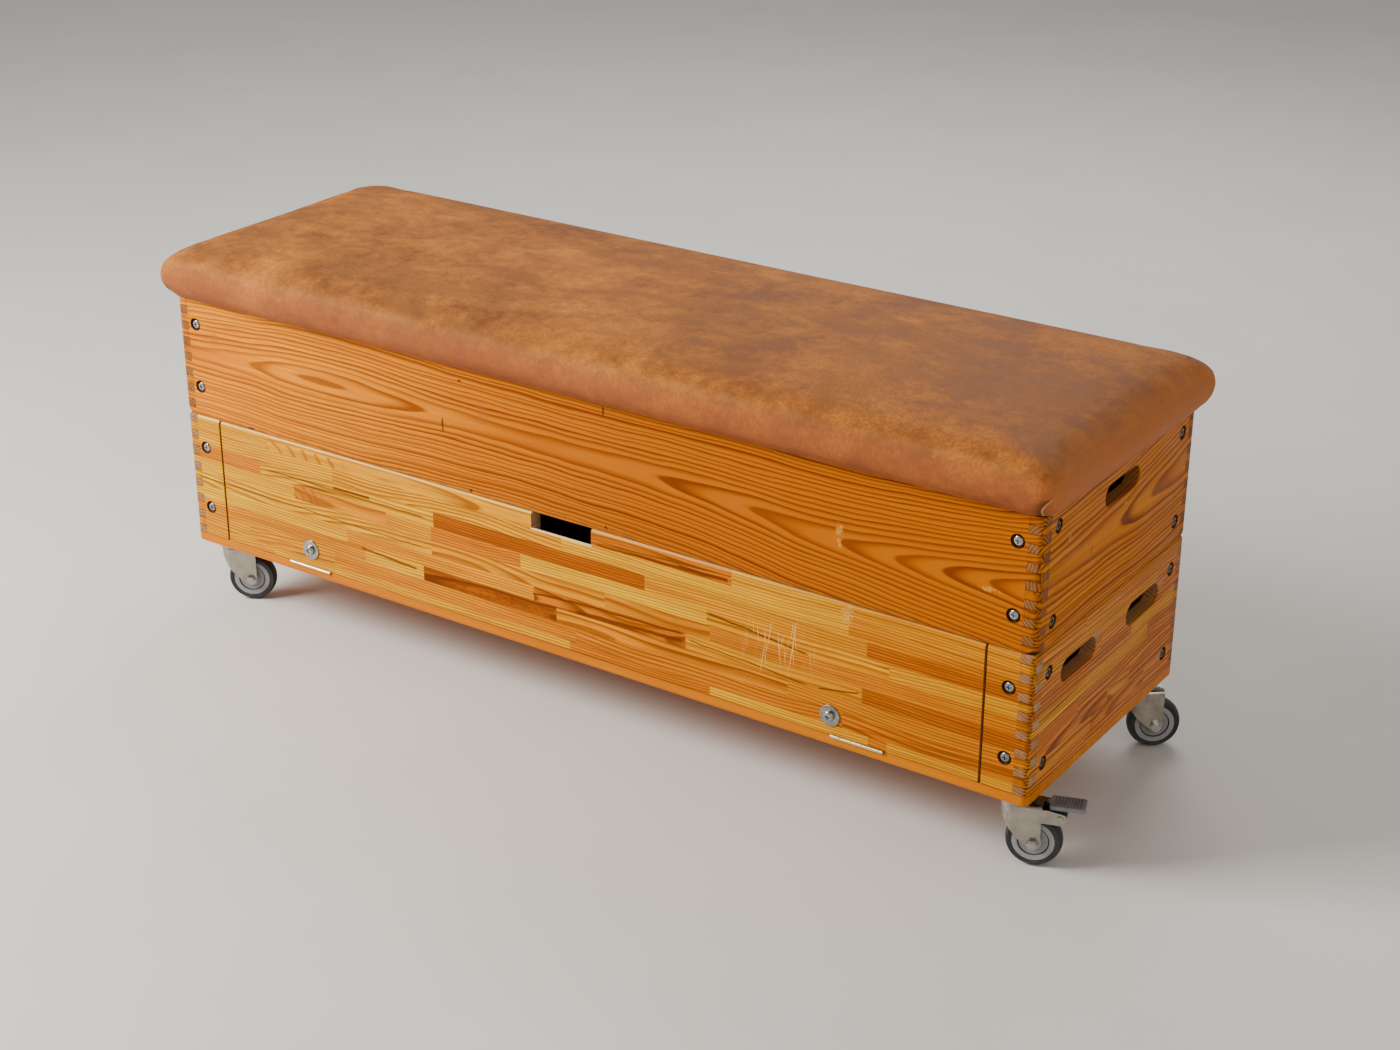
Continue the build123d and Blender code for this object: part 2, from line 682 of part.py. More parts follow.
def fork(braked):
    """Pressed fork with its swivel head."""
    shell = fork_channel(FORK_HALF, FORK_TOP)
    shell = fillet(shell.edges().group_by(Axis.Z)[-1], FORK_EDGE_R)
    shell -= fork_channel(FORK_HALF - FORK_T, FORK_TOP - FORK_T)
    shell = shell & upright(fork_outline(braked), 2 * FORK_HALF)
    shell += rod(FORK_HEAD_R, FORK_TOP - 1, FORK_TOP + FORK_HEAD_T)
    shell -= rod(KINGPIN_R + KINGPIN_PLAY, FORK_TOP - 9, FORK_TOP + 9)
    shell -= across(TRAIL, WHEEL_R) * rod(AXLE_D / 2, -40, 40)
    if braked:
        shell -= across(BRAKE_PIN_X, BRAKE_PIN_Z) * rod(BRAKE_PIN_R, -40, 40)
    return shell


def axle():
    """Bolt, sleeve and nut."""
    half = FORK_HALF
    head_end = -half - AXLE_HEAD_H
    bolt = hex_block(AXLE_AF, head_end, -half) + rod(AXLE_D / 2, -half, half + AXLE_NUT_H + AXLE_END)
    bolt += rod(AXLE_FACE_R, head_end - 1.0, -half)
    sleeve = rod(SLEEVE_D / 2, -half + FORK_T, half - FORK_T) - rod(AXLE_D / 2, -half, half)
    nut = hex_block(AXLE_AF, half, half + AXLE_NUT_H) - rod(AXLE_D / 2, 0, half + AXLE_NUT_H + 1)
    return group([across(TRAIL, WHEEL_R) * shape for shape in (bolt, sleeve, nut)])


def turned(points):
    """Solid turned about the wheel's axle from a half outline in radius and width."""
    outline = make_face(Polyline(*points, close=True))
    return across(TRAIL, WHEEL_R) * revolve(Rot(90, 0, 0) * outline, Axis.Z)


def wheel_core():
    """Grey centre with a groove round each face."""
    bore = SLEEVE_D / 2 + AXLE_PLAY
    rim = TYRE_W / 2 - 0.4
    disc = rim - RING_H
    hub = HUB_W / 2
    inner, floor = RING_R - RING_GROOVE[0], disc - RING_GROOVE[1]
    outer = [(bore, hub), (HUB_R - 1, hub), (HUB_R, hub - 1), (HUB_R, disc), (inner, disc),
             (inner + 0.3, floor), (RING_R - 0.3, floor), (RING_R, rim), (CORE_R, rim)]
    return turned(outer + [(radius, -width) for radius, width in reversed(outer)])


def tyre():
    """Solid tyre with a crowned tread."""
    half = TYRE_W / 2
    shoulder = WHEEL_R - 3.4
    side_up = Polyline((CORE_R, -half + 0.5), (shoulder, -half))
    tread = ThreePointArc((shoulder, -half), (WHEEL_R, 0), (shoulder, half))
    side_down = Polyline((shoulder, half), (CORE_R, half - 0.5), (CORE_R, -half + 0.5))
    outline = make_face([side_up, tread, side_down])
    return across(TRAIL, WHEEL_R) * revolve(Rot(90, 0, 0) * outline, Axis.Z)


def brake_pin():
    end = FORK_HALF
    pin = rod(BRAKE_PIN_R, -end, end)
    pin += rod(BRAKE_PIN_R + 2, end, end + 1.5) + rod(BRAKE_PIN_R + 2, -end - 1.5, -end)
    return across(BRAKE_PIN_X, BRAKE_PIN_Z) * pin


def brake_cam():
    """Cam on the brake pin: its lobe meets the tyre when the pedal is down."""
    angle = radians(CAM_ANGLE)
    lobe_x = BRAKE_PIN_X + CAM_REACH * cos(angle)
    lobe_z = BRAKE_PIN_Z + CAM_REACH * sin(angle)
    outline = Pos(BRAKE_PIN_X, BRAKE_PIN_Z) * Circle(CAM_HUB_R) + Pos(lobe_x, lobe_z) * Circle(CAM_LOBE_R)
    front, back = BRAKE_PIN_X - CAM_NECK[0], BRAKE_PIN_X + CAM_NECK[1]
    neck = Polygon((front, BRAKE_PIN_Z), (back, BRAKE_PIN_Z), (back, PEDAL_Z[0]), (front, PEDAL_Z[0]),
                   align=None)
    cam = upright(outline + neck, CAM_HALF)
    return cam - across(BRAKE_PIN_X, BRAKE_PIN_Z) * rod(BRAKE_PIN_R + AXLE_PLAY, -40, 40)


def brake_pedal():
    """Ribbed foot pedal on top of the cam."""
    pedal = block(*PEDAL_X, -PEDAL_HALF, PEDAL_HALF, *PEDAL_Z)
    pedal = fillet(pedal.edges().filter_by(Axis.Z), PEDAL_CORNER_R)
    pedal = fillet(pedal.edges().group_by(Axis.Z)[-1], PEDAL_EDGE_R)
    width, depth = PEDAL_GROOVE
    side = PEDAL_HALF - PEDAL_SIDE
    pitch = (PEDAL_X[1] - PEDAL_X[0] - 2 * PEDAL_END) / PEDAL_GROOVES
    for number in range(PEDAL_GROOVES):
        x = PEDAL_X[0] + PEDAL_END + (number + 0.5) * pitch
        pedal -= block(x - width / 2, x + width / 2, -side, side, PEDAL_Z[1] - depth, PEDAL_Z[1] + 1)
    return pedal


# ---------------------------------------------------------------- nodes
def lower_nodes():
    outline = section_block(BASE_TOP, LOWER_H, rim_r=RIM_R)
    base_fixings = [place * base_screw() for place in base_screw_places()]
    nodes = {
        "base_board": base_board(),
        "base_screws": group(base_fixings),
        "lower_stile_left": stile(-1),
        "lower_stile_right": stile(1),
        "lower_back_board": long_board(1, BASE_TOP, LOWER_H, outline, 0) - base_fixings,
        "lower_corner_posts": lower_posts(),
        "lower_corner_screws": group(corner_screws(BASE_TOP)),
        "flap_stop_left": flap_stop(-1),
        "flap_stop_right": flap_stop(1),
        "catch_magnets": group([catch_magnet(-1), catch_magnet(1)]),
    }
    for name, side in (("left", -1), ("right", 1)):
        board = end_board(side, BASE_TOP, LOWER_H, outline, 0) - base_fixings
        hole_z = BASE_TOP + LOWER_HOLE_Z
        holes = [hand_hole(side, y, hole_z, LOWER_HOLE_H) for y in (-LOWER_HOLE_Y, LOWER_HOLE_Y)]
        nodes["lower_end_" + name] = board - holes
    return nodes


def flap_nodes():
    places = bolt_places()
    return {
        "hinge_base_leaves": group([hinge_leaf(x, -1) for x in HINGE_X]),
        "hinge_base_screws": group([place * leaf_screw() for place in leaf_screw_places(-1)]),
        "hinge_pins": hinge_pins(),
        "hinge_flap_leaves": group([hinge_leaf(x, 1) for x in HINGE_X]),
        "hinge_flap_screws": group([place * leaf_screw() for place in leaf_screw_places(1)]),
        "flap_panel": flap_panel(),
        "flap_bolts": group([place * flap_bolt() for place in places]),
        "flap_washers": group([place * flap_washer() for place in places]),
        "flap_inner_washers": group([place * flap_inner_washer() for place in places]),
        "flap_nuts": group([place * flap_nut() for place in places]),
        "catch_plates": group([catch_plate(-1), catch_plate(1)]),
    }


def upper_nodes():
    outline = section_block(LOWER_TOP, UPPER_H, foot_r=UPPER_EDGE_R)
    nodes = {
        "upper_front_board": long_board(-1, LOWER_TOP, UPPER_H, outline, 1),
        "upper_back_board": long_board(1, LOWER_TOP, UPPER_H, outline, 1),
        "upper_corner_posts": upper_posts(),
        "upper_corner_screws": group(corner_screws(LOWER_TOP)),
        "top_rails": top_rails(),
        "top_board": top_board(),
        "top_board_screws": group([place * top_screw() for place in top_screw_places()]),
        "foam_pad": foam_pad(),
        "leather_cover": leather_cover(),
    }
    for name, side in (("left", -1), ("right", 1)):
        hole = hand_hole(side, 0, LOWER_TOP + UPPER_HOLE_Z, UPPER_HOLE_H)
        nodes["upper_end_" + name] = end_board(side, LOWER_TOP, UPPER_H, outline, 1) - hole
    return nodes


def castor_nodes():
    places = {name: castor_place(name) for name in CASTORS}
    straight = {name: Pos(CASTORS[name][0] * CASTOR_X, CASTORS[name][1] * CASTOR_Y, 0) for name in CASTORS}
    nodes = {
        "castor_plates": group([place * castor_plate() for place in straight.values()]),
        "castor_kingpins": group([place * kingpin() for place in straight.values()]),
        "castor_race_balls": group([place * ball for place in straight.values() for ball in race_balls()]),
        "castor_plate_screws": group([place * plate_screw() for place in castor_screw_places()]),
    }
    for name, place in places.items():
        braked = CASTORS[name][3]
        nodes["castor_fork_" + name] = place * fork(braked)
        nodes["castor_axle_" + name] = place * axle()
        nodes["wheel_core_" + name] = place * wheel_core()
        nodes["tyre_" + name] = place * tyre()
        if braked:
            nodes["brake_pin_" + name] = place * brake_pin()
            nodes["brake_cam_" + name] = place * brake_cam()
            nodes["brake_pedal_" + name] = place * brake_pedal()
    return nodes


def main():
    os.makedirs("parts", exist_ok=True)
    for nodes in (lower_nodes(), flap_nodes(), upper_nodes(), castor_nodes()):
        for name, shape in nodes.items():
            export_step(shape, "parts/" + name + ".step")


main()
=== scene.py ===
from functools import reduce
from math import cos, pi, radians, sin

import bpy
from mathutils import Matrix, Vector, noise


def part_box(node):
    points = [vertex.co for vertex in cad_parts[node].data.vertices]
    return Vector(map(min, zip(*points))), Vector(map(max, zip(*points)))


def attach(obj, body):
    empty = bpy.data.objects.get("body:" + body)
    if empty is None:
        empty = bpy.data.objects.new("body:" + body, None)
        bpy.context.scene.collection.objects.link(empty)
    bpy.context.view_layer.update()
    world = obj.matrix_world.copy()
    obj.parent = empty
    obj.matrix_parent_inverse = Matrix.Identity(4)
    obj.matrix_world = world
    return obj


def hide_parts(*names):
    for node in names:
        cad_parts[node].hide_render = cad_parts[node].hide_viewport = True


# Looks of the vaulting box chest. Metres, in the same frame as the CAD model:
# +X along the box, +Y to the back, +Z up, origin on the floor.

HALF_L = 0.725              # box sections
HALF_W = 0.223
UPPER_LOW = 0.321           # the joint between the sections
RIM_TOP = 0.508             # the leather's underside
PAD_HALF_L = 0.750
PAD_HALF_W = 0.248

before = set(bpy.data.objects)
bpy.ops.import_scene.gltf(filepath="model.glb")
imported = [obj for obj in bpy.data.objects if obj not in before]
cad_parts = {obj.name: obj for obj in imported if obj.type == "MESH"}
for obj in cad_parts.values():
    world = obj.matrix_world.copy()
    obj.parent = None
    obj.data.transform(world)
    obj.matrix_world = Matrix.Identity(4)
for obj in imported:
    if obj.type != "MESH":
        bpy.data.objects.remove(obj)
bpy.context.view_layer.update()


# ---------------------------------------------------------------- node helper
class Graph:
    """Builds one node material from object coordinates, in metres."""

    def __init__(self, name):
        self.material = bpy.data.materials.new(name)
        self.material.use_nodes = True
        self.tree = self.material.node_tree
        self.shader = self.tree.nodes["Principled BSDF"]
        place = self.tree.nodes.new("ShaderNodeTexCoord")
        self.point = place.outputs["Object"]
        self.normal = place.outputs["Normal"]

    def put(self, socket, value):
        if isinstance(value, bpy.types.NodeSocket):
            self.tree.links.new(value, socket)
        else:
            socket.default_value = value

    def add(self, kind, inputs, **settings):
        node = self.tree.nodes.new(kind)
        for key, value in settings.items():
            setattr(node, key, value)
        for key, value in inputs.items():
            self.put(node.inputs[key], value)
        return node

    def math(self, operation, *values):
        return self.add("ShaderNodeMath", dict(enumerate(values)), operation=operation).outputs[0]

    def plus(self, a, b):
        return self.math("ADD", a, b)

    def minus(self, a, b):
        return self.math("SUBTRACT", a, b)

    def times(self, a, b):
        return self.math("MULTIPLY", a, b)

    def absolute(self, value):
        return self.math("ABSOLUTE", value)

    def hypot(self, a, b):
        return self.math("SQRT", self.plus(self.times(a, a), self.times(b, b)))

    def highest(self, values):
        return reduce(lambda a, b: self.math("MAXIMUM", a, b), values)

    def split(self, vector):
        return list(self.add("ShaderNodeSeparateXYZ", {0: vector}).outputs)

    def vector(self, x, y, z):
        return self.add("ShaderNodeCombineXYZ", {0: x, 1: y, 2: z}).outputs[0]

    def stretch(self, vector, x, y, z):
        node = self.add("ShaderNodeVectorMath", {0: vector, 1: (x, y, z)}, operation="MULTIPLY")
        return node.outputs[0]

    def noise(self, vector, scale, detail=3.0, roughness=0.55, distortion=0.0):
        inputs = {"Vector": vector, "Scale": scale, "Detail": detail, "Roughness": roughness,
                  "Distortion": distortion}
        return self.add("ShaderNodeTexNoise", inputs).outputs["Fac"]

    def span(self, value, low, high, to_low=0.0, to_high=1.0):
        """Maps low..high to to_low..to_high, held at both ends."""
        node = self.add("ShaderNodeMapRange", {0: value, 1: low, 2: high, 3: to_low, 4: to_high})
        return node.outputs[0]

    def near(self, value, center, far, close):
        """1 within close of the center, 0 beyond far."""
        return self.span(self.absolute(self.plus(value, -center)), far, close)

    def window(self, value, rise, fall):
        """1 between the two slopes, which are (value at 0, value at 1) each."""
        return self.times(self.span(value, *rise), self.span(value, *fall))

    def ramp(self, factor, stops, steps=False):
        """Color ramp over stops of (position, color or grey), smooth or in steps."""
        node = self.add("ShaderNodeValToRGB", {0: factor})
        ramp = node.color_ramp
        ramp.interpolation = "CONSTANT" if steps else "LINEAR"
        while len(ramp.elements) < len(stops):
            ramp.elements.new(1.0)
        for element, (position, color) in zip(ramp.elements, stops):
            element.position = position
            shade = color if isinstance(color, tuple) else (color, color, color)
            element.color = (*shade, 1.0)
        return node.outputs[0]

    def mix(self, factor, a, b):
        """Color a where factor is 0 and b where it is 1."""
        def color(value):
            return (*value, 1.0) if isinstance(value, tuple) else value
        node = self.add("ShaderNodeMix", {0: factor, 6: color(a), 7: color(b)}, data_type="RGBA")
        return node.outputs[2]

    def curve(self, value, points):
        """Smooth curve through the points, which rise in their first number."""
        first, last = points[0][0], points[-1][0]
        low, high = min(y for x, y in points), max(y for x, y in points)
        node = self.add("ShaderNodeFloatCurve", {1: self.span(value, first, last)})
        line = node.mapping.curves[0]
        spots = [((x - first) / (last - first), (y - low) / (high - low)) for x, y in points]
        line.points[0].location = spots[0]
        line.points[-1].location = spots[-1]
        for spot in spots[1:-1]:
            line.points.new(*spot)
        node.mapping.update()
        return self.span(node.outputs[0], 0.0, 1.0, low, high)

    def bump(self, height, distance, under=None):
        """Bump normal, on top of the normal under it."""
        inputs = {"Height": height, "Distance": distance, "Strength": 1.0}
        if under is not None:
            inputs["Normal"] = under
        return self.add("ShaderNodeBump", inputs).outputs[0]

    def finish(self, **values):
        """Sets or links the shader's own inputs, and returns the material."""
        for name, value in values.items():
            socket = self.shader.inputs[name.replace("_", " ")]
            self.put(socket, (*value, 1.0) if isinstance(value, tuple) and len(value) == 3 else value)
        return self.material


def paint(material, *names):
    """Gives CAD nodes a material."""
    for name in names:
        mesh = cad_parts[name].data
        mesh.materials.clear()
        mesh.materials.append(material)


# ---------------------------------------------------------------- wood
def growth_rings(g, along, across, depth, heart, pith, spacing, wobble):
    """Share of dark late wood in a board cut beside the pith. heart counts the rings lost to taper."""
    spot = g.vector(g.times(along, 2.2), g.times(across, 9.0), g.times(depth, 9.0))
    drift = g.span(g.noise(spot, 1.6, 2.0), 0.2, 0.8, -wobble, wobble)
    ripple = g.span(g.noise(spot, 7.0, 2.0), 0.2, 0.8, -wobble * 0.22, wobble * 0.22)
    height = g.plus(across, g.plus(drift, ripple))
    radius = g.hypot(g.plus(depth, pith), height)
    count = g.minus(g.times(g.plus(radius, -pith), 1.0 / spacing), heart)
    uneven = g.noise(g.vector(g.times(count, 0.9), 0.3, g.times(along, 0.5)), 1.0, 2.0)
    uneven = g.times(g.span(uneven, 0.2, 0.8, -1.0, 1.0), g.span(count, 0.5, 4.0, 0.10, 0.50))
    count = g.plus(count, uneven)
    late = g.ramp(g.math("FRACT", count), [(0.0, 0.25), (0.07, 0.0), (0.42, 0.12), (0.64, 0.62),
                                           (0.80, 1.0), (0.95, 1.0), (1.0, 0.25)])
    width = g.noise(g.vector(g.math("FLOOR", count), g.times(along, 0.6), 0.0), 1.37, 0.0)
    return g.times(late, g.span(width, 0.25, 0.75, 0.66, 1.0))


def fibres(g, along, across, depth, fine=620.0):
    """Fine streaks along the grain, around 0.5."""
    spot = g.vector(g.times(along, 9.0), g.times(across, fine), g.times(depth, fine))
    broad = g.vector(g.times(along, 3.5), g.times(across, 120.0), g.times(depth, 120.0))
    return g.plus(g.times(g.noise(spot, 1.0, 3.0, 0.7), 0.55), g.times(g.noise(broad, 1.0, 2.0), 0.45))


def end_grain(g, axis):
    """1 where the surface faces along the grain."""
    return g.span(g.absolute(g.split(g.normal)[axis]), 0.62, 0.8)


def outer_face(g, depth, strength=1.0):
    """Keeps a mark on a board's outer face."""
    return g.span(depth, 0.004, 0.002, 0.0, strength)


def board_coordinates(g, axis):
    """Along the grain, height, and depth behind the outer face, for boards along X (0) or Y (1)."""
    x, y, z = g.split(g.point)
    if axis == 0:
        return x, z, g.minus(HALF_W, g.absolute(y))
    return y, z, g.minus(HALF_L, g.absolute(x))


def spot_mask(g, u, v, center, size, wild=0.35):
    """Ragged oval patch in the plane of two coordinates."""
    du = g.times(g.plus(u, -center[0]), 1.0 / size[0])
    dv = g.times(g.plus(v, -center[1]), 1.0 / size[1])
    rag = g.noise(g.vector(g.times(u, 1.0), 0.0, g.times(v, 1.0)), 220.0, 3.0)
    return g.span(g.plus(g.hypot(du, dv), g.span(rag, 0.3, 0.7, -wild, wild)), 1.0, 0.62)


def resin_line(g, along, z, start, end, width):
    """Thin wavering line of resin, tapered at both ends."""
    part = g.span(along, start[0], end[0])
    wave = g.noise(g.vector(g.times(along, 28.0), start[1], 0.0), 1.0, 2.0)
    wave = g.span(wave, 0.2, 0.8, -0.0014, 0.0014)
    middle = g.plus(g.span(part, 0.0, 1.0, start[1], end[1]), wave)
    ends = g.window(part, (0.0, 0.04), (1.0, 0.96))
    return g.times(g.span(g.absolute(g.minus(z, middle)), width, width * 0.45), ends)


def resin_arcs(g, along, z, center, pitch, area):
    """Short curved bands round a center, inside an area (low along, high along, low z, high z)."""
    left, right, low, high = area
    du = g.times(g.plus(along, -center[0]), 0.62)
    dv = g.plus(z, -center[1])
    ripple = g.times(g.noise(g.vector(along, 0.0, z), 60.0, 2.0), 0.006)
    band = g.math("SINE", g.times(g.plus(g.hypot(du, dv), ripple), 2.0 * pi / pitch))
    inside = g.times(g.math("GREATER_THAN", z, low), g.math("LESS_THAN", z, high))
    across = g.times(g.math("GREATER_THAN", along, left), g.span(along, right, right - 0.03))
    return g.times(g.span(band, 0.35, 0.95), g.times(inside, across))


# Counterbored corner screws, as (distance from the board's middle, heights), and the edges of
# the mask round one of them.
FRONT_SCREWS = (0.6905, (0.169, 0.269, 0.369, 0.469))
END_SCREWS = (0.1828, (0.154, 0.2834, 0.354, 0.4834))
BORE_EDGES = (0.0110, 0.0104)


def screw_bores(g, along, z, depth, middle, levels):
    """Walls and floors of the corner screws' counterbores, where shade is painted."""
    beside = g.near(g.absolute(along), middle, *BORE_EDGES)
    beside = g.times(beside, g.span(depth, 0.0002, 0.0009))
    return g.times(beside, g.highest(g.near(z, level, *BORE_EDGES) for level in levels))


# Finger joints: (lowest line, pitch) of the lower and the upper section, and where they begin
# along X and Y, one board's thickness from the outer faces.
FINGER_JOINTS = ((0.121, 0.200 / 15), (0.321, 0.187 / 15))
JOINT_X = (0.7036, 0.7042)
JOINT_Y = (0.2016, 0.2022)


def joint_lines(g):
    """Glue lines and handling dirt round the finger joints of both sections."""
    x, y, z = g.split(g.point)
    corner = g.times(g.span(g.absolute(x), *JOINT_X), g.span(g.absolute(y), *JOINT_Y))
    upper = g.math("GREATER_THAN", z, UPPER_LOW)
    below, above = [g.times(g.plus(z, -low), 1.0 / pitch) for low, pitch in FINGER_JOINTS]
    count = g.plus(g.times(above, upper), g.times(below, g.minus(1.0, upper)))
    off_line = g.absolute(g.plus(g.math("FRACT", g.plus(count, 0.5)), -0.5))
    line = g.times(g.span(off_line, 0.055, 0.025), corner)
    darkening = g.times(corner, g.span(g.noise(g.point, 75.0, 4.0), 0.42, 0.66))
    return line, darkening


WOOD_SHINE = (1.0, 0.50, 0.06)          # tint of the varnish's reflections


def varnish(g, color, late, fibre, end, place, cut_tone, gloss=0.40):
    """Finish common to the varnished boards. place is (axis, along, height, depth)."""
    axis, along, z, depth = place
    bore_shade = screw_bores(g, along, z, depth, *(FRONT_SCREWS if axis == 0 else END_SCREWS))
    outward = g.absolute(g.split(g.normal)[1 - axis])
    cut = g.times(g.span(outward, 0.6, 0.3), g.span(depth, 0.001, 0.004))
    color = g.mix(g.times(cut, 0.60), color, cut_tone)
    # Painted shade in the screws' counterbores.
    color = g.mix(g.times(bore_shade, 0.88), color, (0.075, 0.030, 0.012))
    line, darkening = joint_lines(g)
    color = g.mix(g.times(darkening, 0.34), color, (0.085, 0.024, 0.006))
    color = g.mix(g.times(line, 0.80), color, (0.030, 0.009, 0.003))
    rough = g.plus(g.span(fibre, 0.3, 0.7, gloss - 0.05, gloss + 0.10), g.times(end, 0.16))
    handled = g.noise(g.point, 9.0, 3.0)
    rough = g.plus(rough, g.span(handled, 0.35, 0.7, -0.04, 0.08))
    height = g.plus(g.times(late, 0.6), g.times(fibre, 0.7))
    return g.finish(Base_Color=color, Roughness=rough, Normal=g.bump(height, 0.00010), IOR=1.5,
                    Specular_IOR_Level=0.11, Specular_Tint=WOOD_SHINE)


PINE_LIGHT = (0.930, 0.335, 0.001)
PINE_MID = (0.790, 0.240, 0.001)
PINE_PAINTED_SHADE = (0.375, 0.098, 0.001)
PINE_RED = (0.440, 0.098, 0.001)
PINE_DARK = (0.150, 0.021, 0.001)
END_PITH = (0.050, 0.425)               # behind the outer face, and height
END_RING = 0.0046

# Marks on the boards, as (tone, strength, raggedness of the outline).
MARK_KINDS = {"crack": ((0.060, 0.018, 0.006), 0.90, 0.35),
              "stain": ((0.300, 0.095, 0.020), 0.42, 0.90),
              "paint": ((0.900, 0.500, 0.080), 0.30, 0.90)}


def end_tone(g, color, z, depth, end):
    """End grain: brown, with its own arched ring stripes."""
    radius = g.hypot(g.plus(depth, END_PITH[0]), g.plus(z, -END_PITH[1]))
    radius = g.plus(radius, g.times(g.noise(g.point, 60.0, 2.0), 0.0035))
    part = g.math("FRACT", g.times(radius, 1.0 / END_RING))
    stripe = g.ramp(part, [(0.0, 0.6), (0.12, 0.0), (0.50, 0.10), (0.70, 1.0), (0.94, 1.0), (1.0, 0.6)])
    cut = g.mix(stripe, (0.520, 0.150, 0.010), (0.050, 0.009, 0.001))
    return g.mix(g.times(end, 0.94), color, cut)


def upper_pine(name, axis, heart_points, heart_z, rings, shade, marks):
    """Plain-sawn pine of the upper section, stained amber.

    rings is (distance to the pith, spacing), and shade is where along the board the painted shade begins
    and is full.
    """
    g = Graph(name)
    along, z, depth = board_coordinates(g, axis)
    height = g.minus(z, g.curve(along, heart_z))
    late = growth_rings(g, along, height, depth, g.curve(along, heart_points), *rings, 0.0045)
    fibre = fibres(g, along, z, depth)
    end = end_grain(g, axis)
    cloud = g.noise(g.stretch(g.point, 2.2, 6.0, 9.0), 1.0, 3.0)
    base = g.mix(g.span(cloud, 0.3, 0.7), PINE_LIGHT, PINE_MID)
    # Painted shade: darker along the board where less light falls.
    base = g.mix(g.span(along, *shade, 0.0, 0.85), base, PINE_PAINTED_SHADE)
    base = g.mix(g.span(fibre, 0.36, 0.64, 0.0, 0.74), base, PINE_RED)
    color = g.mix(g.times(late, g.span(along, -0.70, -0.05, 0.74, 0.96)), base, PINE_DARK)
    color = end_tone(g, color, z, depth, end)
    outside = outer_face(g, depth)
    for kind, u, v, size in marks:
        tone, strength, ragged = MARK_KINDS[kind]
        patch = g.times(spot_mask(g, along, z, (u, v), size, ragged), strength)
        color = g.mix(g.times(patch, outside), color, tone)
    # Painted shade: darker in mottled patches towards the bottom edge, along the joint with the lower
    # section.
    darkening = g.times(g.span(z, UPPER_LOW + 0.012, UPPER_LOW), g.span(g.noise(g.point, 40.0, 3.0), 0.4, 0.65))
    color = g.mix(g.times(darkening, 0.55), color, (0.110, 0.050, 0.020))
    return varnish(g, color, late, fibre, end, (axis, along, z, depth), (0.190, 0.095, 0.045))


# The boards' figure. Each heart table gives the rings lost to taper along a board, and the table
# with _Z the height of its heart line. The front shows an island on the left, then arches that
# open to the right.
FRONT_HEART = [(-0.725, 0.35), (-0.650, 0.72), (-0.590, 1.02), (-0.490, 2.02), (-0.435, 2.14),
               (-0.385, 2.02), (-0.300, 1.50), (-0.235, 1.02), (-0.120, 0.62), (0.020, 0.60),
               (0.150, 1.02), (0.300, 2.02), (0.440, 3.02), (0.520, 4.02), (0.590, 5.02),
               (0.655, 6.02), (0.725, 7.20)]
FRONT_HEART_Z = [(-0.725, 0.424), (-0.420, 0.430), (0.020, 0.426), (0.150, 0.424), (0.300, 0.416),
                 (0.450, 0.406), (0.600, 0.403), (0.725, 0.408)]
BACK_HEART = [(-0.725, 5.4), (-0.560, 3.6), (-0.330, 2.1), (-0.100, 1.05), (0.130, 0.60), (0.330, 1.02),
              (0.450, 1.45), (0.560, 1.02), (0.725, 0.40)]
BACK_HEART_Z = [(-0.725, 0.396), (-0.200, 0.404), (0.350, 0.410), (0.725, 0.399)]
END_HEART = [(-0.223, 0.40), (-0.120, 0.66), (-0.005, 1.02), (0.060, 1.75), (0.130, 2.30), (0.223, 2.90)]
END_HEART_Z = [(-0.223, 0.418), (0.000, 0.421), (0.120, 0.428), (0.223, 0.440)]
LONG_RINGS = (0.025, 0.0060)            # distance to the pith, and ring spacing
END_RINGS = (0.045, 0.0060)

# Marks on the outer faces: (kind, along, height, half size).
FRONT_MARKS = [("crack", -0.212, 0.417, (0.0022, 0.014)), ("crack", 0.070, 0.499, (0.0018, 0.010)),
               ("crack", -0.165, 0.326, (0.0045, 0.0035)), ("crack", 0.072, 0.329, (0.0035, 0.0030)),
               ("crack", -0.590, 0.324, (0.008, 0.0022)), ("crack", -0.178, 0.489, (0.004, 0.0022)),
               ("stain", -0.652, 0.455, (0.012, 0.012)), ("stain", -0.140, 0.450, (0.010, 0.016)),
               ("paint", 0.440, 0.420, (0.006, 0.008)), ("paint", 0.441, 0.402, (0.003, 0.006)),
               ("paint", 0.655, 0.395, (0.012, 0.0035))]
BACK_MARKS = FRONT_MARKS[:4]
END_MARKS = [("crack", -0.082, 0.412, (0.0012, 0.009)), ("paint", 0.012, 0.443, (0.006, 0.002)),
             ("paint", -0.149, 0.455, (0.003, 0.006))]


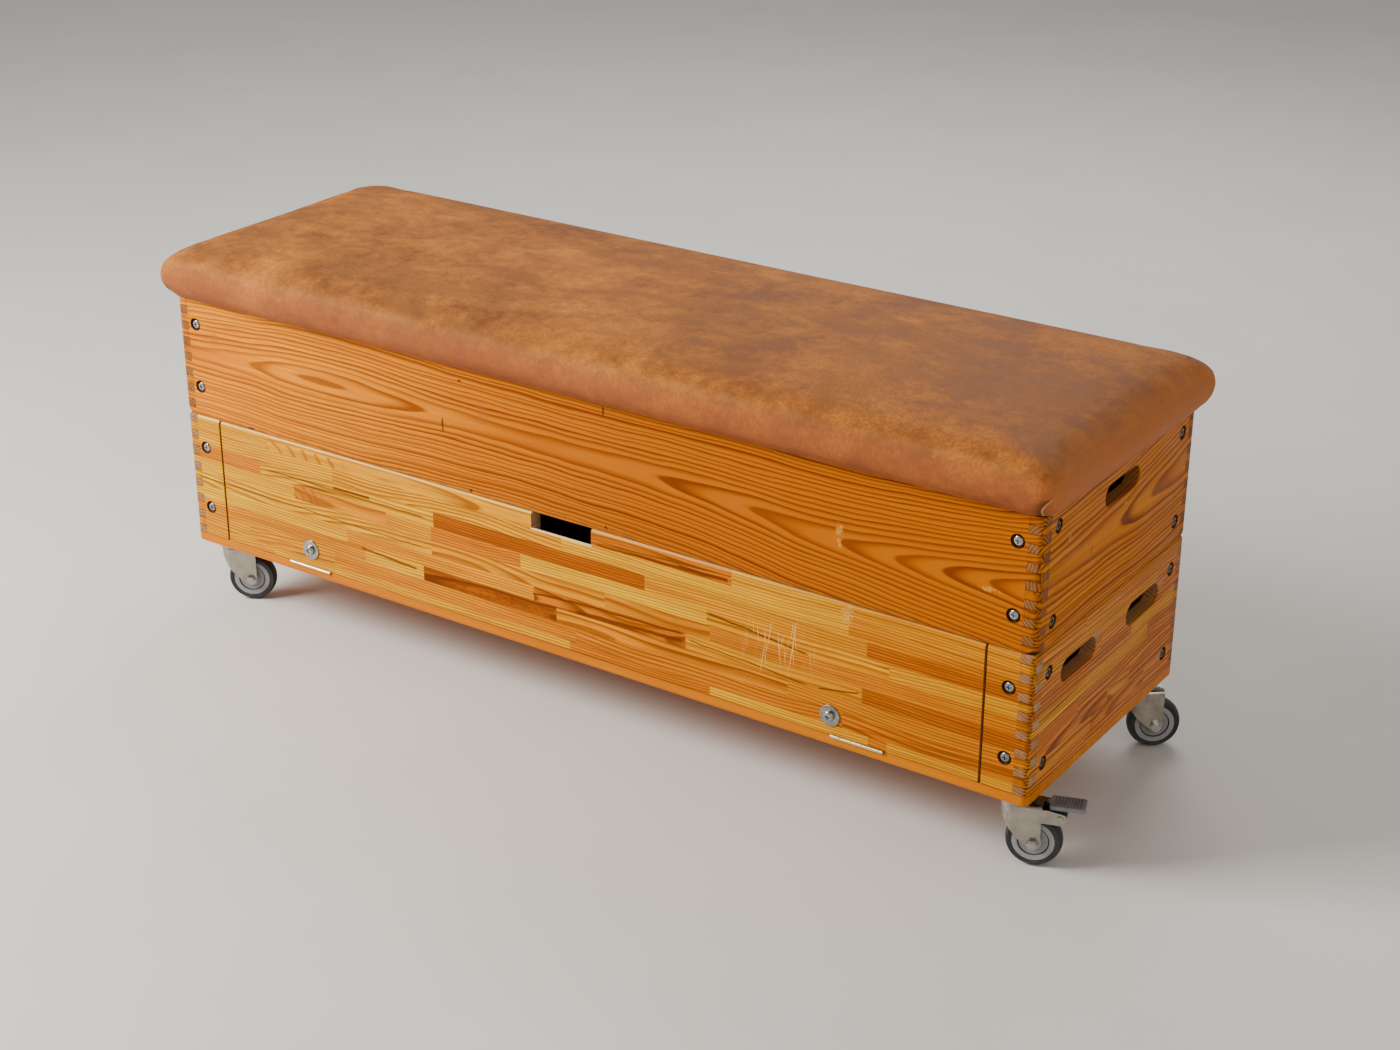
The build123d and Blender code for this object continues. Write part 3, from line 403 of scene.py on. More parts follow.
# Glued-up staves of the lower boards, bottom row first. Each stave is (start, tone from pale 0
# to dark 1, distance from its log's heart from 0 to 1, dark resin streaks from 0 to 1).
STAVE_LOW = 0.1142
STAVE_H = 0.0228
STAVE_RINGS = (0.034, 0.0040)           # distance to the pith, and ring spacing
STAVE_TONES = [(0.0, (0.980, 0.600, 0.003)), (0.30, (0.950, 0.445, 0.001)),
               (0.6, (0.780, 0.216, 0.001)), (1.0, (0.330, 0.056, 0.001))]
FRONT_STAVES = [
    [(-0.725, 0.30, 0.7, 0), (-0.563, 0.20, 0.8, 0), (-0.437, 0.22, 0.6, 0), (0.002, 0.62, 0.9, 0),
     (0.240, 0.10, 0.8, 0), (0.488, 0.55, 0.6, 0), (0.520, 0.14, 0.9, 0)],
    [(-0.725, 0.34, 0.5, 0), (-0.615, 0.40, 0.3, 0), (-0.437, 0.52, 0.7, 0), (0.015, 0.55, 0.4, 0),
     (0.448, 0.60, 0.2, 0.6)],
    [(-0.725, 0.46, 0.8, 0), (-0.378, 0.12, 0.5, 0.9), (-0.262, 0.90, 0.05, 0.3), (-0.020, 0.50, 0.1, 0.2),
     (0.365, 0.46, 0.6, 0)],
    [(-0.725, 0.10, 0.9, 0), (-0.595, 0.14, 0.7, 0), (-0.409, 0.44, 0.8, 0), (-0.057, 0.66, 0.1, 1.0),
     (0.203, 0.30, 0.2, 0.5), (0.478, 0.82, 0.9, 0)],
    [(-0.725, 0.16, 0.25, 0.2), (-0.249, 0.42, 0.15, 0), (0.065, 0.46, 0.1, 0), (0.241, 0.52, 0.95, 0)],
    [(-0.725, 0.12, 0.8, 0), (-0.512, 0.50, 0.0, 0.3), (-0.330, 0.40, 0.8, 0), (-0.248, 0.58, 0.9, 0),
     (-0.080, 0.06, 0.9, 0), (0.235, 0.30, 0.3, 0.8), (0.520, 0.16, 0.8, 0)],
    [(-0.725, 0.58, 0.9, 0), (-0.580, 0.16, 0.2, 0.9), (-0.243, 0.88, 0.95, 0), (0.133, 0.34, 0.7, 0),
     (0.483, 0.76, 0.8, 0)],
    [(-0.725, 0.20, 0.8, 0), (-0.433, 0.32, 0.3, 0), (-0.010, 0.08, 0.8, 0), (0.455, 0.44, 0.7, 0)],
    [(-0.725, 0.16, 0.8, 0), (-0.563, 0.34, 0.05, 0.1), (0.045, 0.60, 0.4, 0.9), (0.272, 0.18, 0.6, 0),
     (0.455, 0.36, 0.8, 0)]]
END_STAVES = [
    [(-0.223, 0.52, 0.3, 0.5), (-0.060, 0.62, 0.2, 0)],
    [(-0.223, 0.46, 0.1, 0.3), (-0.045, 0.58, 0.1, 0.5), (0.120, 0.56, 0.3, 0.3)],
    [(-0.223, 0.62, 0.1, 0.4), (0.002, 0.48, 0.1, 0.3), (0.070, 0.68, 0.2, 0)],
    [(-0.223, 0.60, 0.5, 0.6), (-0.090, 0.62, 0.2, 0.4)],
    [(-0.223, 0.24, 0.5, 0.8), (0.120, 0.74, 0.4, 0)],
    [(-0.223, 0.66, 0.3, 0.5), (0.065, 0.30, 0.5, 0.4)],
    [(-0.223, 0.52, 0.3, 0.3), (-0.030, 0.56, 0.4, 0.6), (0.160, 0.54, 0.2, 0)],
    [(-0.223, 0.38, 0.4, 0.4), (-0.075, 0.34, 0.5, 0.5), (0.140, 0.58, 0.3, 0)],
    [(-0.223, 0.50, 0.2, 0.8), (-0.080, 0.42, 0.3, 0.5), (0.020, 0.54, 0.5, 0.3)]]


def back_staves():
    """Five staves in each row of the back board, with joints that shift from row to row."""
    rows = []
    for row in range(len(FRONT_STAVES)):
        shift = 0.05 + 0.07 * ((7 * row) % 5)
        rows.append([(round(-HALF_L + shift * part + 0.245 * part, 3),
                      (0.17 * (3 * row + 5 * part)) % 0.9, (0.29 * (2 * row + 3 * part)) % 1.0,
                      0.7 if (row + 3 * part) % 7 == 0 else 0.0) for part in range(5)])
    return rows


# Dark resin lines of the front staves: (start, end, half width), each end as (x, z).
RESIN_LINES = [((-0.432, 0.2655), (-0.358, 0.2660), 0.0032), ((-0.570, 0.2620), (-0.250, 0.2610), 0.0015),
               ((-0.382, 0.1810), (-0.272, 0.1740), 0.0026), ((-0.060, 0.1935), (0.010, 0.1990), 0.0020),
               ((0.000, 0.2000), (0.203, 0.2030), 0.0023), ((0.015, 0.1860), (0.203, 0.1920), 0.0038),
               ((0.050, 0.2985), (0.272, 0.3020), 0.0018), ((0.190, 0.3015), (0.273, 0.3030), 0.0038),
               ((0.237, 0.2460), (0.400, 0.2300), 0.0020), ((0.205, 0.1970), (0.400, 0.1850), 0.0016),
               ((0.415, 0.1850), (0.478, 0.1960), 0.0016), ((-0.725, 0.2180), (-0.250, 0.2120), 0.0013)]


def front_figure(g, color, along, z):
    """Resin lines and curly patches in the flap and the stiles."""
    lines = g.highest(resin_line(g, along, z, *line) for line in RESIN_LINES)
    color = g.mix(g.times(lines, 0.92), color, (0.120, 0.022, 0.002))
    arcs = g.highest((
        resin_arcs(g, along, z, (-0.530, 0.226), 0.0085, (-0.512, -0.445, 0.2282, 0.2510)),
        resin_arcs(g, along, z, (-0.640, 0.262), 0.0150, (-0.563, -0.400, 0.2966, 0.3120))))
    color = g.mix(g.times(arcs, 0.66), color, (0.240, 0.056, 0.001))
    curl = g.noise(g.vector(g.times(along, 60.0), 0.0, g.times(z, 330.0)), 1.0, 3.0, 0.6, 1.2)
    here = g.times(g.window(along, (-0.262, -0.200), (-0.015, -0.022)),
                   g.window(z, (0.1595, 0.1620), (0.1830, 0.1800)))
    return g.mix(g.times(g.span(curl, 0.45, 0.60, 0.0, 0.75), here), color, (0.130, 0.032, 0.003))


def front_wear_and_painted_light(g, color, along, z, depth):
    """Scratches and a chalky spot on the flap, a painted shadow at the foot, painted highlights on rim and
    notch.
    """
    region = g.times(g.window(along, (0.290, 0.320), (0.415, 0.375)),
                     g.window(z, (0.165, 0.200), (0.290, 0.262)))
    region = g.times(region, outer_face(g, depth))
    for slope, seed in ((-0.14, 0.0), (0.10, 5.0)):
        tilt = g.plus(along, g.times(z, slope))
        scores = g.noise(g.vector(g.times(tilt, 520.0), seed, g.times(z, 11.0)), 1.0, 1.0)
        scores = g.times(g.span(scores, 0.655, 0.70, 0.0, 0.60), region)
        color = g.mix(scores, color, (0.880, 0.640, 0.260))
    chalk = spot_mask(g, along, z, (0.457, 0.304), (0.009, 0.013), 0.9)
    color = g.mix(g.times(chalk, outer_face(g, depth, 0.15)), color, (0.900, 0.620, 0.240))
    # Painted highlight along the lower edge of the notch.
    lip = g.times(g.near(along, -0.006, 0.0535, 0.0520), g.span(z, 0.2925, 0.2940))
    lip = g.times(lip, g.span(z, 0.2960, 0.2952))
    color = g.mix(g.times(lip, 0.8), color, (1.000, 0.760, 0.400))
    # Painted shadow: a dark line along the flap's foot, where it meets the base board.
    color = g.mix(g.span(z, 0.1236, 0.1222, 0.0, 0.70), color, (0.160, 0.045, 0.005))
    # Painted highlight along the rounded rim, strongest to the left.
    rim = g.times(g.span(z, 0.3160, 0.3195), g.span(along, 0.55, 0.0, 0.10, 1.0))
    return g.mix(g.times(rim, 0.85), color, (1.000, 0.720, 0.260))


def stave_facts(g, along, row, rows, half):
    """Tone, distance from the heart, and resin streaks of the stave at a spot."""
    place = g.span(along, -half, half)
    facts = None
    for number, staves in enumerate(rows):
        stops = [((start + half) / (2 * half), (tone, heart, streak))
                 for start, tone, heart, streak in staves]
        colors = g.ramp(place, stops, steps=True)
        here = g.math("GREATER_THAN", row, number - 0.5)
        facts = colors if facts is None else g.mix(here, facts, colors)
    return g.add("ShaderNodeSeparateColor", {0: facts}).outputs[:3]


def glued_staves(name, axis, rows, shade, wear):
    """Rows of glued staves, each with its own tone and grain.

    shade is (begin, full, strength) of painted shade towards one end, and wear adds what shows on the front
    only.
    """
    g = Graph(name)
    along, z, depth = board_coordinates(g, axis)
    level = g.times(g.plus(z, -STAVE_LOW), 1.0 / STAVE_H)
    row = g.math("FLOOR", level)
    tone, heart, streak = stave_facts(g, along, row, rows, HALF_L if axis == 0 else HALF_W)
    seed = g.plus(g.times(row, 7.31), g.plus(g.times(tone, 41.7), g.times(heart, 23.9)))
    own_along = g.plus(along, seed)
    middle = g.plus(g.minus(level, row), -0.5)
    lift = g.span(g.noise(g.vector(seed, 0.0, 0.0), 1.0, 0.0), 0.3, 0.7, -0.25, 0.25)
    off_heart = g.plus(g.times(g.plus(middle, lift), STAVE_H), g.times(heart, 0.085))
    taper = g.noise(g.vector(g.times(along, 2.4), seed, 0.0), 1.0, 1.0)
    rings_lost = g.plus(g.span(taper, 0.25, 0.75, 0.0, 4.2), seed)
    late = growth_rings(g, own_along, off_heart, depth, rings_lost, *STAVE_RINGS, 0.0030)
    fibre = fibres(g, own_along, z, depth)
    end = end_grain(g, axis)

    base = g.ramp(tone, STAVE_TONES)
    # Painted shade: darker towards one end of the board where less light falls.
    base = g.mix(g.span(along, shade[0], shade[1], 0.0, shade[2]), base, (0.500, 0.105, 0.001))
    # Painted light: the end boards are mixed towards a light red-orange to lift the dim end faces.
    if axis == 1:
        base = g.mix(0.20, base, (0.980, 0.330, 0.130))
    cloud = g.noise(g.stretch(g.point, 3.0, 8.0, 12.0), 1.0, 3.0)
    base = g.mix(g.span(cloud, 0.35, 0.7, 0.0, 0.30), base, (0.540, 0.160, 0.010))
    dark = g.mix(tone, (0.300, 0.066, 0.001), (0.070, 0.011, 0.001))
    color = g.mix(g.times(late, g.span(heart, 0.0, 1.0, 0.95, 0.74)), base, dark)
    color = g.mix(g.span(fibre, 0.38, 0.62, 0.0, 0.62), color, dark)
    flow = g.vector(g.times(own_along, 3.2), g.times(z, 95.0), seed)
    resin = g.times(g.span(g.noise(flow, 1.0, 2.0, 0.5, 0.6), 0.585, 0.66), streak)
    color = g.mix(g.times(resin, 0.9), color, (0.110, 0.030, 0.006))
    inside = g.span(g.absolute(middle), 0.5, 0.482)
    color = g.mix(g.times(g.minus(1.0, inside), 0.45), color, (0.180, 0.070, 0.010))
    color = end_tone(g, color, z, depth, end)
    if wear:
        color = front_figure(g, color, along, z)
        color = front_wear_and_painted_light(g, color, along, z, depth)
    if axis == 1:
        for spot in (-0.050, 0.143):
            patch_mask = spot_mask(g, along, z, (spot, 0.274), (0.015, 0.012), 0.9)
            color = g.mix(g.times(patch_mask, 0.55), color, (0.300, 0.190, 0.120))
    cut_tone = (0.450, 0.320, 0.190) if wear else (0.290, 0.170, 0.090)
    return varnish(g, color, late, fibre, end, (axis, along, z, depth), cut_tone, gloss=0.33)


def orange_panel():
    """Saturated varnish on the base board, with faint cross-banding on its edge."""
    g = Graph("base_panel_varnish")
    x, y, z = g.split(g.point)
    ply = g.noise(g.vector(g.times(x, 2.0), g.times(y, 2.0), g.times(z, 330.0)), 1.0, 1.0)
    figure = g.noise(g.vector(g.times(x, 5.0), g.times(y, 60.0), g.times(z, 30.0)), 1.0, 3.0)
    color = g.mix(g.span(ply, 0.3, 0.7), (0.600, 0.190, 0.001), (0.500, 0.135, 0.001))
    color = g.mix(g.span(figure, 0.35, 0.7, 0.0, 0.5), color, (0.420, 0.100, 0.001))
    wear = g.span(g.noise(g.point, 70.0, 4.0), 0.62, 0.72)
    color = g.mix(g.times(wear, 0.35), color, (0.300, 0.110, 0.020))
    rough = g.span(figure, 0.3, 0.7, 0.26, 0.38)
    return g.finish(Base_Color=color, Roughness=rough, Normal=g.bump(figure, 0.00012),
                    Specular_IOR_Level=0.12, Specular_Tint=WOOD_SHINE)


INNER_RINGS = (0.07, 0.005)             # distance to the pith, and ring spacing


def plain_softwood(name, axis, light, dark):
    """Planed, unvarnished softwood with soft rings along one axis."""
    g = Graph(name)
    parts = g.split(g.point)
    along = parts.pop(axis)
    across, depth = parts
    late = growth_rings(g, along, g.times(across, 0.8), g.times(depth, 0.8), g.times(along, 1.4),
                        *INNER_RINGS, 0.004)
    fibre = fibres(g, along, across, depth, 500.0)
    color = g.mix(g.times(late, 0.7), light, dark)
    color = g.mix(g.span(fibre, 0.3, 0.7, 0.0, 0.35), color, dark)
    color = g.mix(g.times(end_grain(g, axis), 0.4), color, (0.240, 0.130, 0.055))
    return g.finish(Base_Color=color, Roughness=g.span(fibre, 0.3, 0.7, 0.5, 0.68),
                    Normal=g.bump(fibre, 0.0001))


# ---------------------------------------------------------------- metal, rubber and plastic
SCREW_ENDS = (0.7190, 0.7200)           # beyond this along X lie the heads of the end boards' screws


def plated(name, light, dark, rough, dirt=0.25, end_darkening=0.0):
    """Zinc plate with cloudy crystals, fine brushing, dull spots and painted reflection bands, darker on
    the end faces.
    """
    g = Graph(name)
    crystals = g.add("ShaderNodeTexVoronoi", {"Vector": g.point, "Scale": 420.0}).outputs["Distance"]
    cloud = g.noise(g.point, 60.0, 4.0, 0.6)
    color = g.mix(g.span(cloud, 0.32, 0.68), light, dark)
    color = g.mix(g.span(crystals, 0.2, 0.8, 0.0, 0.22), color, dark)
    spots = g.span(g.noise(g.point, 210.0, 4.0, 0.65), 0.60, 0.72)
    color = g.mix(g.times(spots, dirt), color, (0.16, 0.13, 0.10))
    roughness = g.plus(g.span(cloud, 0.3, 0.7, rough - 0.06, rough + 0.10), g.times(spots, 0.2))
    # Painted reflection: darker bands by the direction the surface turns to, standing in for reflections.
    painted_reflection_bands = g.noise(g.stretch(g.normal, 2.6, 2.6, 0.4), 1.0, 1.0)
    color = g.mix(g.span(painted_reflection_bands, 0.40, 0.60, 0.0, 0.55), color, dark)
    # Darker, towards brown, on the end faces beyond SCREW_ENDS along X.
    end_face = g.span(g.absolute(g.split(g.point)[0]), *SCREW_ENDS, 0.0, end_darkening)
    color = g.mix(end_face, color, (0.120, 0.085, 0.055))
    brushed = g.noise(g.stretch(g.point, 150.0, 900.0, 900.0), 1.0, 2.0)
    height = g.plus(g.times(cloud, 0.5), g.times(brushed, 0.5))
    return g.finish(Base_Color=color, Metallic=1.0, Roughness=roughness, Normal=g.bump(height, 0.00006))


def rubber():
    """Black tyre rubber with dust on the tread and moulding grain."""
    g = Graph("tyre_rubber")
    grain = g.noise(g.point, 1300.0, 3.0)
    dust = g.span(g.noise(g.point, 90.0, 4.0), 0.45, 0.75)
    low = g.span(g.split(g.point)[2], 0.020, 0.0, 0.0, 0.6)
    color = g.mix(g.times(dust, g.plus(low, 0.12)), (0.014, 0.014, 0.015), (0.085, 0.075, 0.062))
    rough = g.span(grain, 0.3, 0.7, 0.50, 0.66)
    return g.finish(Base_Color=color, Roughness=rough, Normal=g.bump(grain, 0.00010))


WHEEL_R = 0.030                         # outer radius of the wheel cores


def wheel_plastic(castor):
    """Grey core: a pale rim ring, painted shade in the groove, a mid-grey disc and a paler hub."""
    g = Graph("wheel_grey_" + castor)
    low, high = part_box("castor_axle_" + castor)
    center = (low + high) / 2
    tyre_low, tyre_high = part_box("tyre_" + castor)
    center.z = (tyre_low.z + tyre_high.z) / 2
    away = g.add("ShaderNodeVectorMath", {0: g.point, 1: tuple(center)}, operation="SUBTRACT").outputs[0]
    inward = g.add("ShaderNodeVectorMath", {0: away, 1: axle_axis(castor)}, operation="DOT_PRODUCT")
    inward = inward.outputs["Value"]
    reach = g.add("ShaderNodeVectorMath", {0: away}, operation="LENGTH").outputs["Value"]
    square = g.minus(g.times(reach, reach), g.times(inward, inward))
    radius = g.math("SQRT", g.math("MAXIMUM", 0.0, square))
    # The near-black ring from 0.652 to 0.692 of the radius is painted shade in the groove.
    color = g.ramp(g.times(radius, 1.0 / WHEEL_R), [
        (0.0, (0.30, 0.30, 0.30)), (0.36, (0.30, 0.30, 0.30)), (0.38, (0.170, 0.172, 0.175)),
        (0.640, (0.235, 0.237, 0.240)), (0.652, (0.030, 0.031, 0.033)), (0.692, (0.030, 0.031, 0.033)),
        (0.704, (0.250, 0.253, 0.257)), (1.0, (0.290, 0.294, 0.298))])
    grain = g.noise(g.point, 900.0, 3.0)
    dust = g.span(g.noise(g.point, 70.0, 4.0), 0.45, 0.75, 0.0, 0.3)
    color = g.mix(dust, color, (0.20, 0.185, 0.16))
    return g.finish(Base_Color=color, Roughness=g.span(grain, 0.3, 0.7, 0.40, 0.52),
                    Normal=g.bump(grain, 0.00005))


def moulded(name, light, dark, rough):
    """Moulded plastic or painted steel with fine grain and worn, dusty areas."""
    g = Graph(name)
    grain = g.noise(g.point, 1100.0, 3.0)
    rub = g.noise(g.point, 55.0, 4.0)
    color = g.mix(g.span(rub, 0.35, 0.7), dark, light)
    return g.finish(Base_Color=color, Roughness=g.span(grain, 0.3, 0.7, rough - 0.06, rough + 0.08),
                    Normal=g.bump(grain, 0.00008))


# ---------------------------------------------------------------- leather
FOLD_X = (0.722, 0.740)     # a fold on the long sides near each corner: foot and top
FOLD_H = 0.034
FOLD_Y = 0.22               # the folds lie beyond this
FOLD_REACH = 0.014          # width and depth of the step in the leather beside a fold
FOLD_STEP = 0.0035
CREASE_H = 0.058            # the crease round the cushion: height over the rim, and half its width
CREASE_W = 0.012
LEATHER_TONES = [(0.39, (0.172, 0.057, 0.017)), (0.46, (0.288, 0.098, 0.022)),
                 (0.53, (0.408, 0.139, 0.026)), (0.61, (0.550, 0.193, 0.034))]
TONE_MIDDLE = 0.49          # the mottling's contrast grows about this tone


def corner_folds(g, color, x, y, z):
    """Turned edge of the leather near each corner: a painted highlight on the lip beside a painted shadow
    in the gap.
    """
    up = g.span(z, RIM_TOP, RIM_TOP + FOLD_H)
    away = g.minus(g.absolute(x), g.span(g.math("POWER", up, 2.0), 0.0, 1.0, *FOLD_X))
    low = g.times(g.span(z, RIM_TOP + FOLD_H, RIM_TOP + FOLD_H - 0.003),
                  g.math("GREATER_THAN", g.absolute(y), FOLD_Y))
    gap = g.times(g.window(away, (-0.0100, -0.0010), (0.0005, -0.0006)), low)
    lip = g.times(g.near(away, 0.0012, 0.0018, 0.0006), low)
    # Painted shadow in the gap, then a painted highlight on the lip.
    color = g.mix(g.times(gap, 0.75), color, (0.045, 0.014, 0.004))
    return g.mix(g.times(lip, 0.60), color, (0.620, 0.330, 0.140))


def leather_tone(g, x, near):
    """Cloudy mottling, with more contrast to the right, and painted light that makes the nearest corner
    paler.
    """
    cloud = g.noise(g.stretch(g.point, 1.0, 1.0, 1.4), 5.5, 5.0, 0.62, 0.4)
    patch = g.noise(g.stretch(g.point, 1.0, 1.5, 1.4), 14.0, 4.0, 0.6, 0.3)
    fine = g.noise(g.point, 60.0, 4.0, 0.65)
    tone = g.plus(g.times(cloud, 0.42), g.plus(g.times(patch, 0.30), g.times(fine, 0.28)))
    contrast = g.span(x, -0.1, 0.5, 1.0, 1.5)
    tone = g.plus(g.times(g.plus(tone, -TONE_MIDDLE), contrast), TONE_MIDDLE)
    return g.plus(tone, g.times(near, 0.045))


def leather():
    """Cognac leather: cloudy mottling, pebbled grain and a soft sheen, with painted light and shade."""
    g = Graph("leather_cognac")
    x, y, z = g.split(g.point)
    facing_x, _, facing_z = g.split(g.normal)
    # near marks the nearest corner, where painted light makes the leather paler and thins the grey
    # mottling.
    near = g.times(g.span(x, 0.60, 0.72), g.span(y, -0.10, -0.20))
    tone = leather_tone(g, x, near)
    color = g.ramp(tone, LEATHER_TONES)
    grey = g.noise(g.stretch(g.point, 1.0, 1.6, 1.0), 9.0, 3.0, 0.55, 0.6)
    grey = g.times(g.span(grey, 0.50, 0.62, 0.0, 0.55), g.span(near, 0.0, 1.0, 1.0, 0.35))
    color = g.mix(grey, color, (0.200, 0.078, 0.024))
    nap = g.noise(g.stretch(g.point, 1.0, 1.0, 0.6), 260.0, 3.0, 0.7)
    worn = g.times(g.span(nap, 0.36, 0.62, 1.0, 0.0), g.span(x, 0.0, 0.6, 0.42, 0.58))
    color = g.mix(worn, color, (0.130, 0.043, 0.009))
    # Painted shade: darker and redder towards the right end, away from the key light.
    color = g.mix(g.span(x, -0.3, 0.75, 0.0, 0.34), color, (0.215, 0.058, 0.008))
    # Painted shade: a duller red-brown where the surface turns down from the top.
    side = g.span(facing_z, 0.75, 0.2)
    color = g.mix(g.times(side, 0.50), color, (0.330, 0.084, 0.034))
    # Painted light: a lighter orange on the faces turned towards +X.
    color = g.mix(g.span(facing_x, 0.3, 0.8, 0.0, 0.60), color, (0.580, 0.190, 0.055))
    # Painted highlight along the crease round the cushion, in patches.
    crease = g.near(z, RIM_TOP + CREASE_H, 0.007, 0.0)
    patch_mask = g.times(crease, g.span(g.noise(g.point, 16.0, 3.0), 0.38, 0.62))
    color = g.mix(g.times(patch_mask, 0.22), color, (0.560, 0.230, 0.070))
    color = corner_folds(g, color, x, y, z)

    cells = g.add("ShaderNodeTexVoronoi", {"Vector": g.point, "Scale": 620.0}, feature="DISTANCE_TO_EDGE")
    pebble = g.span(cells.outputs["Distance"], 0.0, 0.22)
    pores = g.noise(g.point, 900.0, 2.0)
    height = g.plus(g.times(pebble, 0.6), g.times(pores, 0.4))
    color = g.mix(g.span(pebble, 0.0, 1.0, 0.22, 0.0), color, (0.110, 0.045, 0.020))
    rough = g.plus(g.span(tone, 0.38, 0.6, 0.50, 0.62), g.span(pores, 0.3, 0.7, -0.04, 0.04))
    soft = g.bump(g.noise(g.point, 26.0, 3.0), 0.0009)
    return g.finish(Base_Color=color, Roughness=rough, Normal=g.bump(height, 0.00022, soft),
                    Specular_IOR_Level=0.14, Specular_Tint=(1.0, 0.55, 0.28))


# Cross-section of the cushion: (inset from its widest outline, height above the rim).
CUSHION_PROFILE = [(0.046, 0.009), (0.044, 0.003), (0.042, 0.000), (0.030, 0.000), (0.020, 0.001),
                   (0.012, 0.0045), (0.0055, 0.011), (0.0015, 0.020), (0.000, 0.031), (0.0008, 0.041),
                   (0.0035, 0.050), (0.0085, 0.0575), (0.016, 0.0635), (0.027, 0.0690), (0.042, 0.0735),
                   (0.065, 0.0775), (0.100, 0.0810), (0.150, 0.0835), (0.205, 0.0850), (0.236, 0.0855)]
ARC_STEPS = 10
PAD_CORNER = 0.026          # the cushion's corner radius in plan
HEM_H = 0.004               # leather below this is stapled to the top board
RIM_W = 0.019               # the boards' upper edge, which the leather rests on
OVER_RIM = 0.0002           # least height of the leather over the boards
OVER_INSIDE = 0.005         # and over the space between them
VOXEL = 0.0055
SHRINK = 0.001              # how much smaller the form is before it is inflated
SWELL = 0.004               # how far the simulated leather may travel
PULL = 0.001                # and how far its sides may draw in
CLOTH_FRAMES = 20


def rounded_loop(half_l, half_w, radius, z):
    """Points round a rounded rectangle, the same number for every size."""
    radius = min(radius, half_w - 0.001)
    points = []
    for quarter, (sx, sy) in enumerate(((1, 1), (-1, 1), (-1, -1), (1, -1))):
        cx, cy = sx * (half_l - radius), sy * (half_w - radius)
        for step in range(ARC_STEPS + 1):
            angle = pi / 2 * (quarter + step / ARC_STEPS)
            points.append((cx + radius * cos(angle), cy + radius * sin(angle), z))
    return points


def cushion_mesh(shrink):
    """Closed lofted form of the cushion, drawn in by shrink."""
    vertices, faces = [], []
    for inset, height in CUSHION_PROFILE:
        inset = inset + shrink
        corner = PAD_CORNER
        if height > 0.02:               # rounder towards the middle of the top
            corner += max(0.0, 0.75 * (inset - 0.004))
        z = RIM_TOP + height - (shrink if height > 0.03 else 0.0)
        vertices += rounded_loop(PAD_HALF_L - inset, PAD_HALF_W - inset, corner, z)
    ring = 4 * (ARC_STEPS + 1)
    for level in range(len(CUSHION_PROFILE) - 1):
        for number in range(ring):
            a, b = level * ring + number, level * ring + (number + 1) % ring
            faces.append((a, b, b + ring, a + ring))
    faces.append(tuple(reversed(range(ring))))
    faces.append(tuple(range(len(vertices) - ring, len(vertices))))
    mesh = bpy.data.meshes.new("leather_cushion")
    mesh.from_pydata(vertices, [], faces)
    mesh.update()
    return mesh


def active(obj):
    """Makes one object the only selected and active one."""
    for other in bpy.context.selected_objects:
        other.select_set(False)
    bpy.context.view_layer.objects.active = obj
    obj.select_set(True)


def apply_all(obj):
    """Bakes the modifiers into the mesh."""
    depsgraph = bpy.context.evaluated_depsgraph_get()
    baked = bpy.data.meshes.new_from_object(obj.evaluated_get(depsgraph))
    obj.modifiers.clear()
    obj.data = baked


def inflate(obj):
    """Leather under foam pressure, held where it is stapled under the top board."""
    start = [v.co.copy() for v in obj.data.vertices]
    held = obj.vertex_groups.new(name="held")
    held.add([v.index for v in obj.data.vertices if v.co.z < RIM_TOP + HEM_H], 1.0, "REPLACE")
    cloth = obj.modifiers.new("cloth", "CLOTH")
    settings = cloth.settings
    settings.vertex_group_mass = "held"
    settings.use_pressure = True
    settings.uniform_pressure_force = 4.0
    settings.effector_weights.gravity = 0.0
    settings.quality = 4
    settings.tension_stiffness = 30.0
    settings.compression_stiffness = 30.0
    settings.bending_stiffness = 4.0
    cloth.collision_settings.use_collision = False
    cloth.collision_settings.use_self_collision = False
    for number in range(1, CLOTH_FRAMES + 1):
        bpy.context.scene.frame_set(number)
    apply_all(obj)
    for vertex, rest in zip(obj.data.vertices, start):
        travel = vertex.co - rest
        if travel.length > SWELL:
            travel = travel * (SWELL / travel.length)
        for side, half in ((0, PAD_HALF_L), (1, PAD_HALF_W)):
            if abs(rest[side]) > half - 0.05 and travel[side] * rest[side] < 0:
                travel[side] = max(-PULL, min(PULL, travel[side]))
        vertex.co = rest + travel
    bpy.context.scene.frame_set(1)


def fold_step(co):
    """Draws the leather in behind the turned edge of a corner fold."""
    up = min(1.0, (co.z - RIM_TOP) / FOLD_H)
    away = abs(co.x) - FOLD_X[0] - up * up * (FOLD_X[1] - FOLD_X[0])
    if abs(co.y) > FOLD_Y and up < 1.0 and -FOLD_REACH < away < 0.0:
        co.y -= FOLD_STEP * (1 + away / FOLD_REACH) * (1 - up * up) * (1 if co.y > 0 else -1)


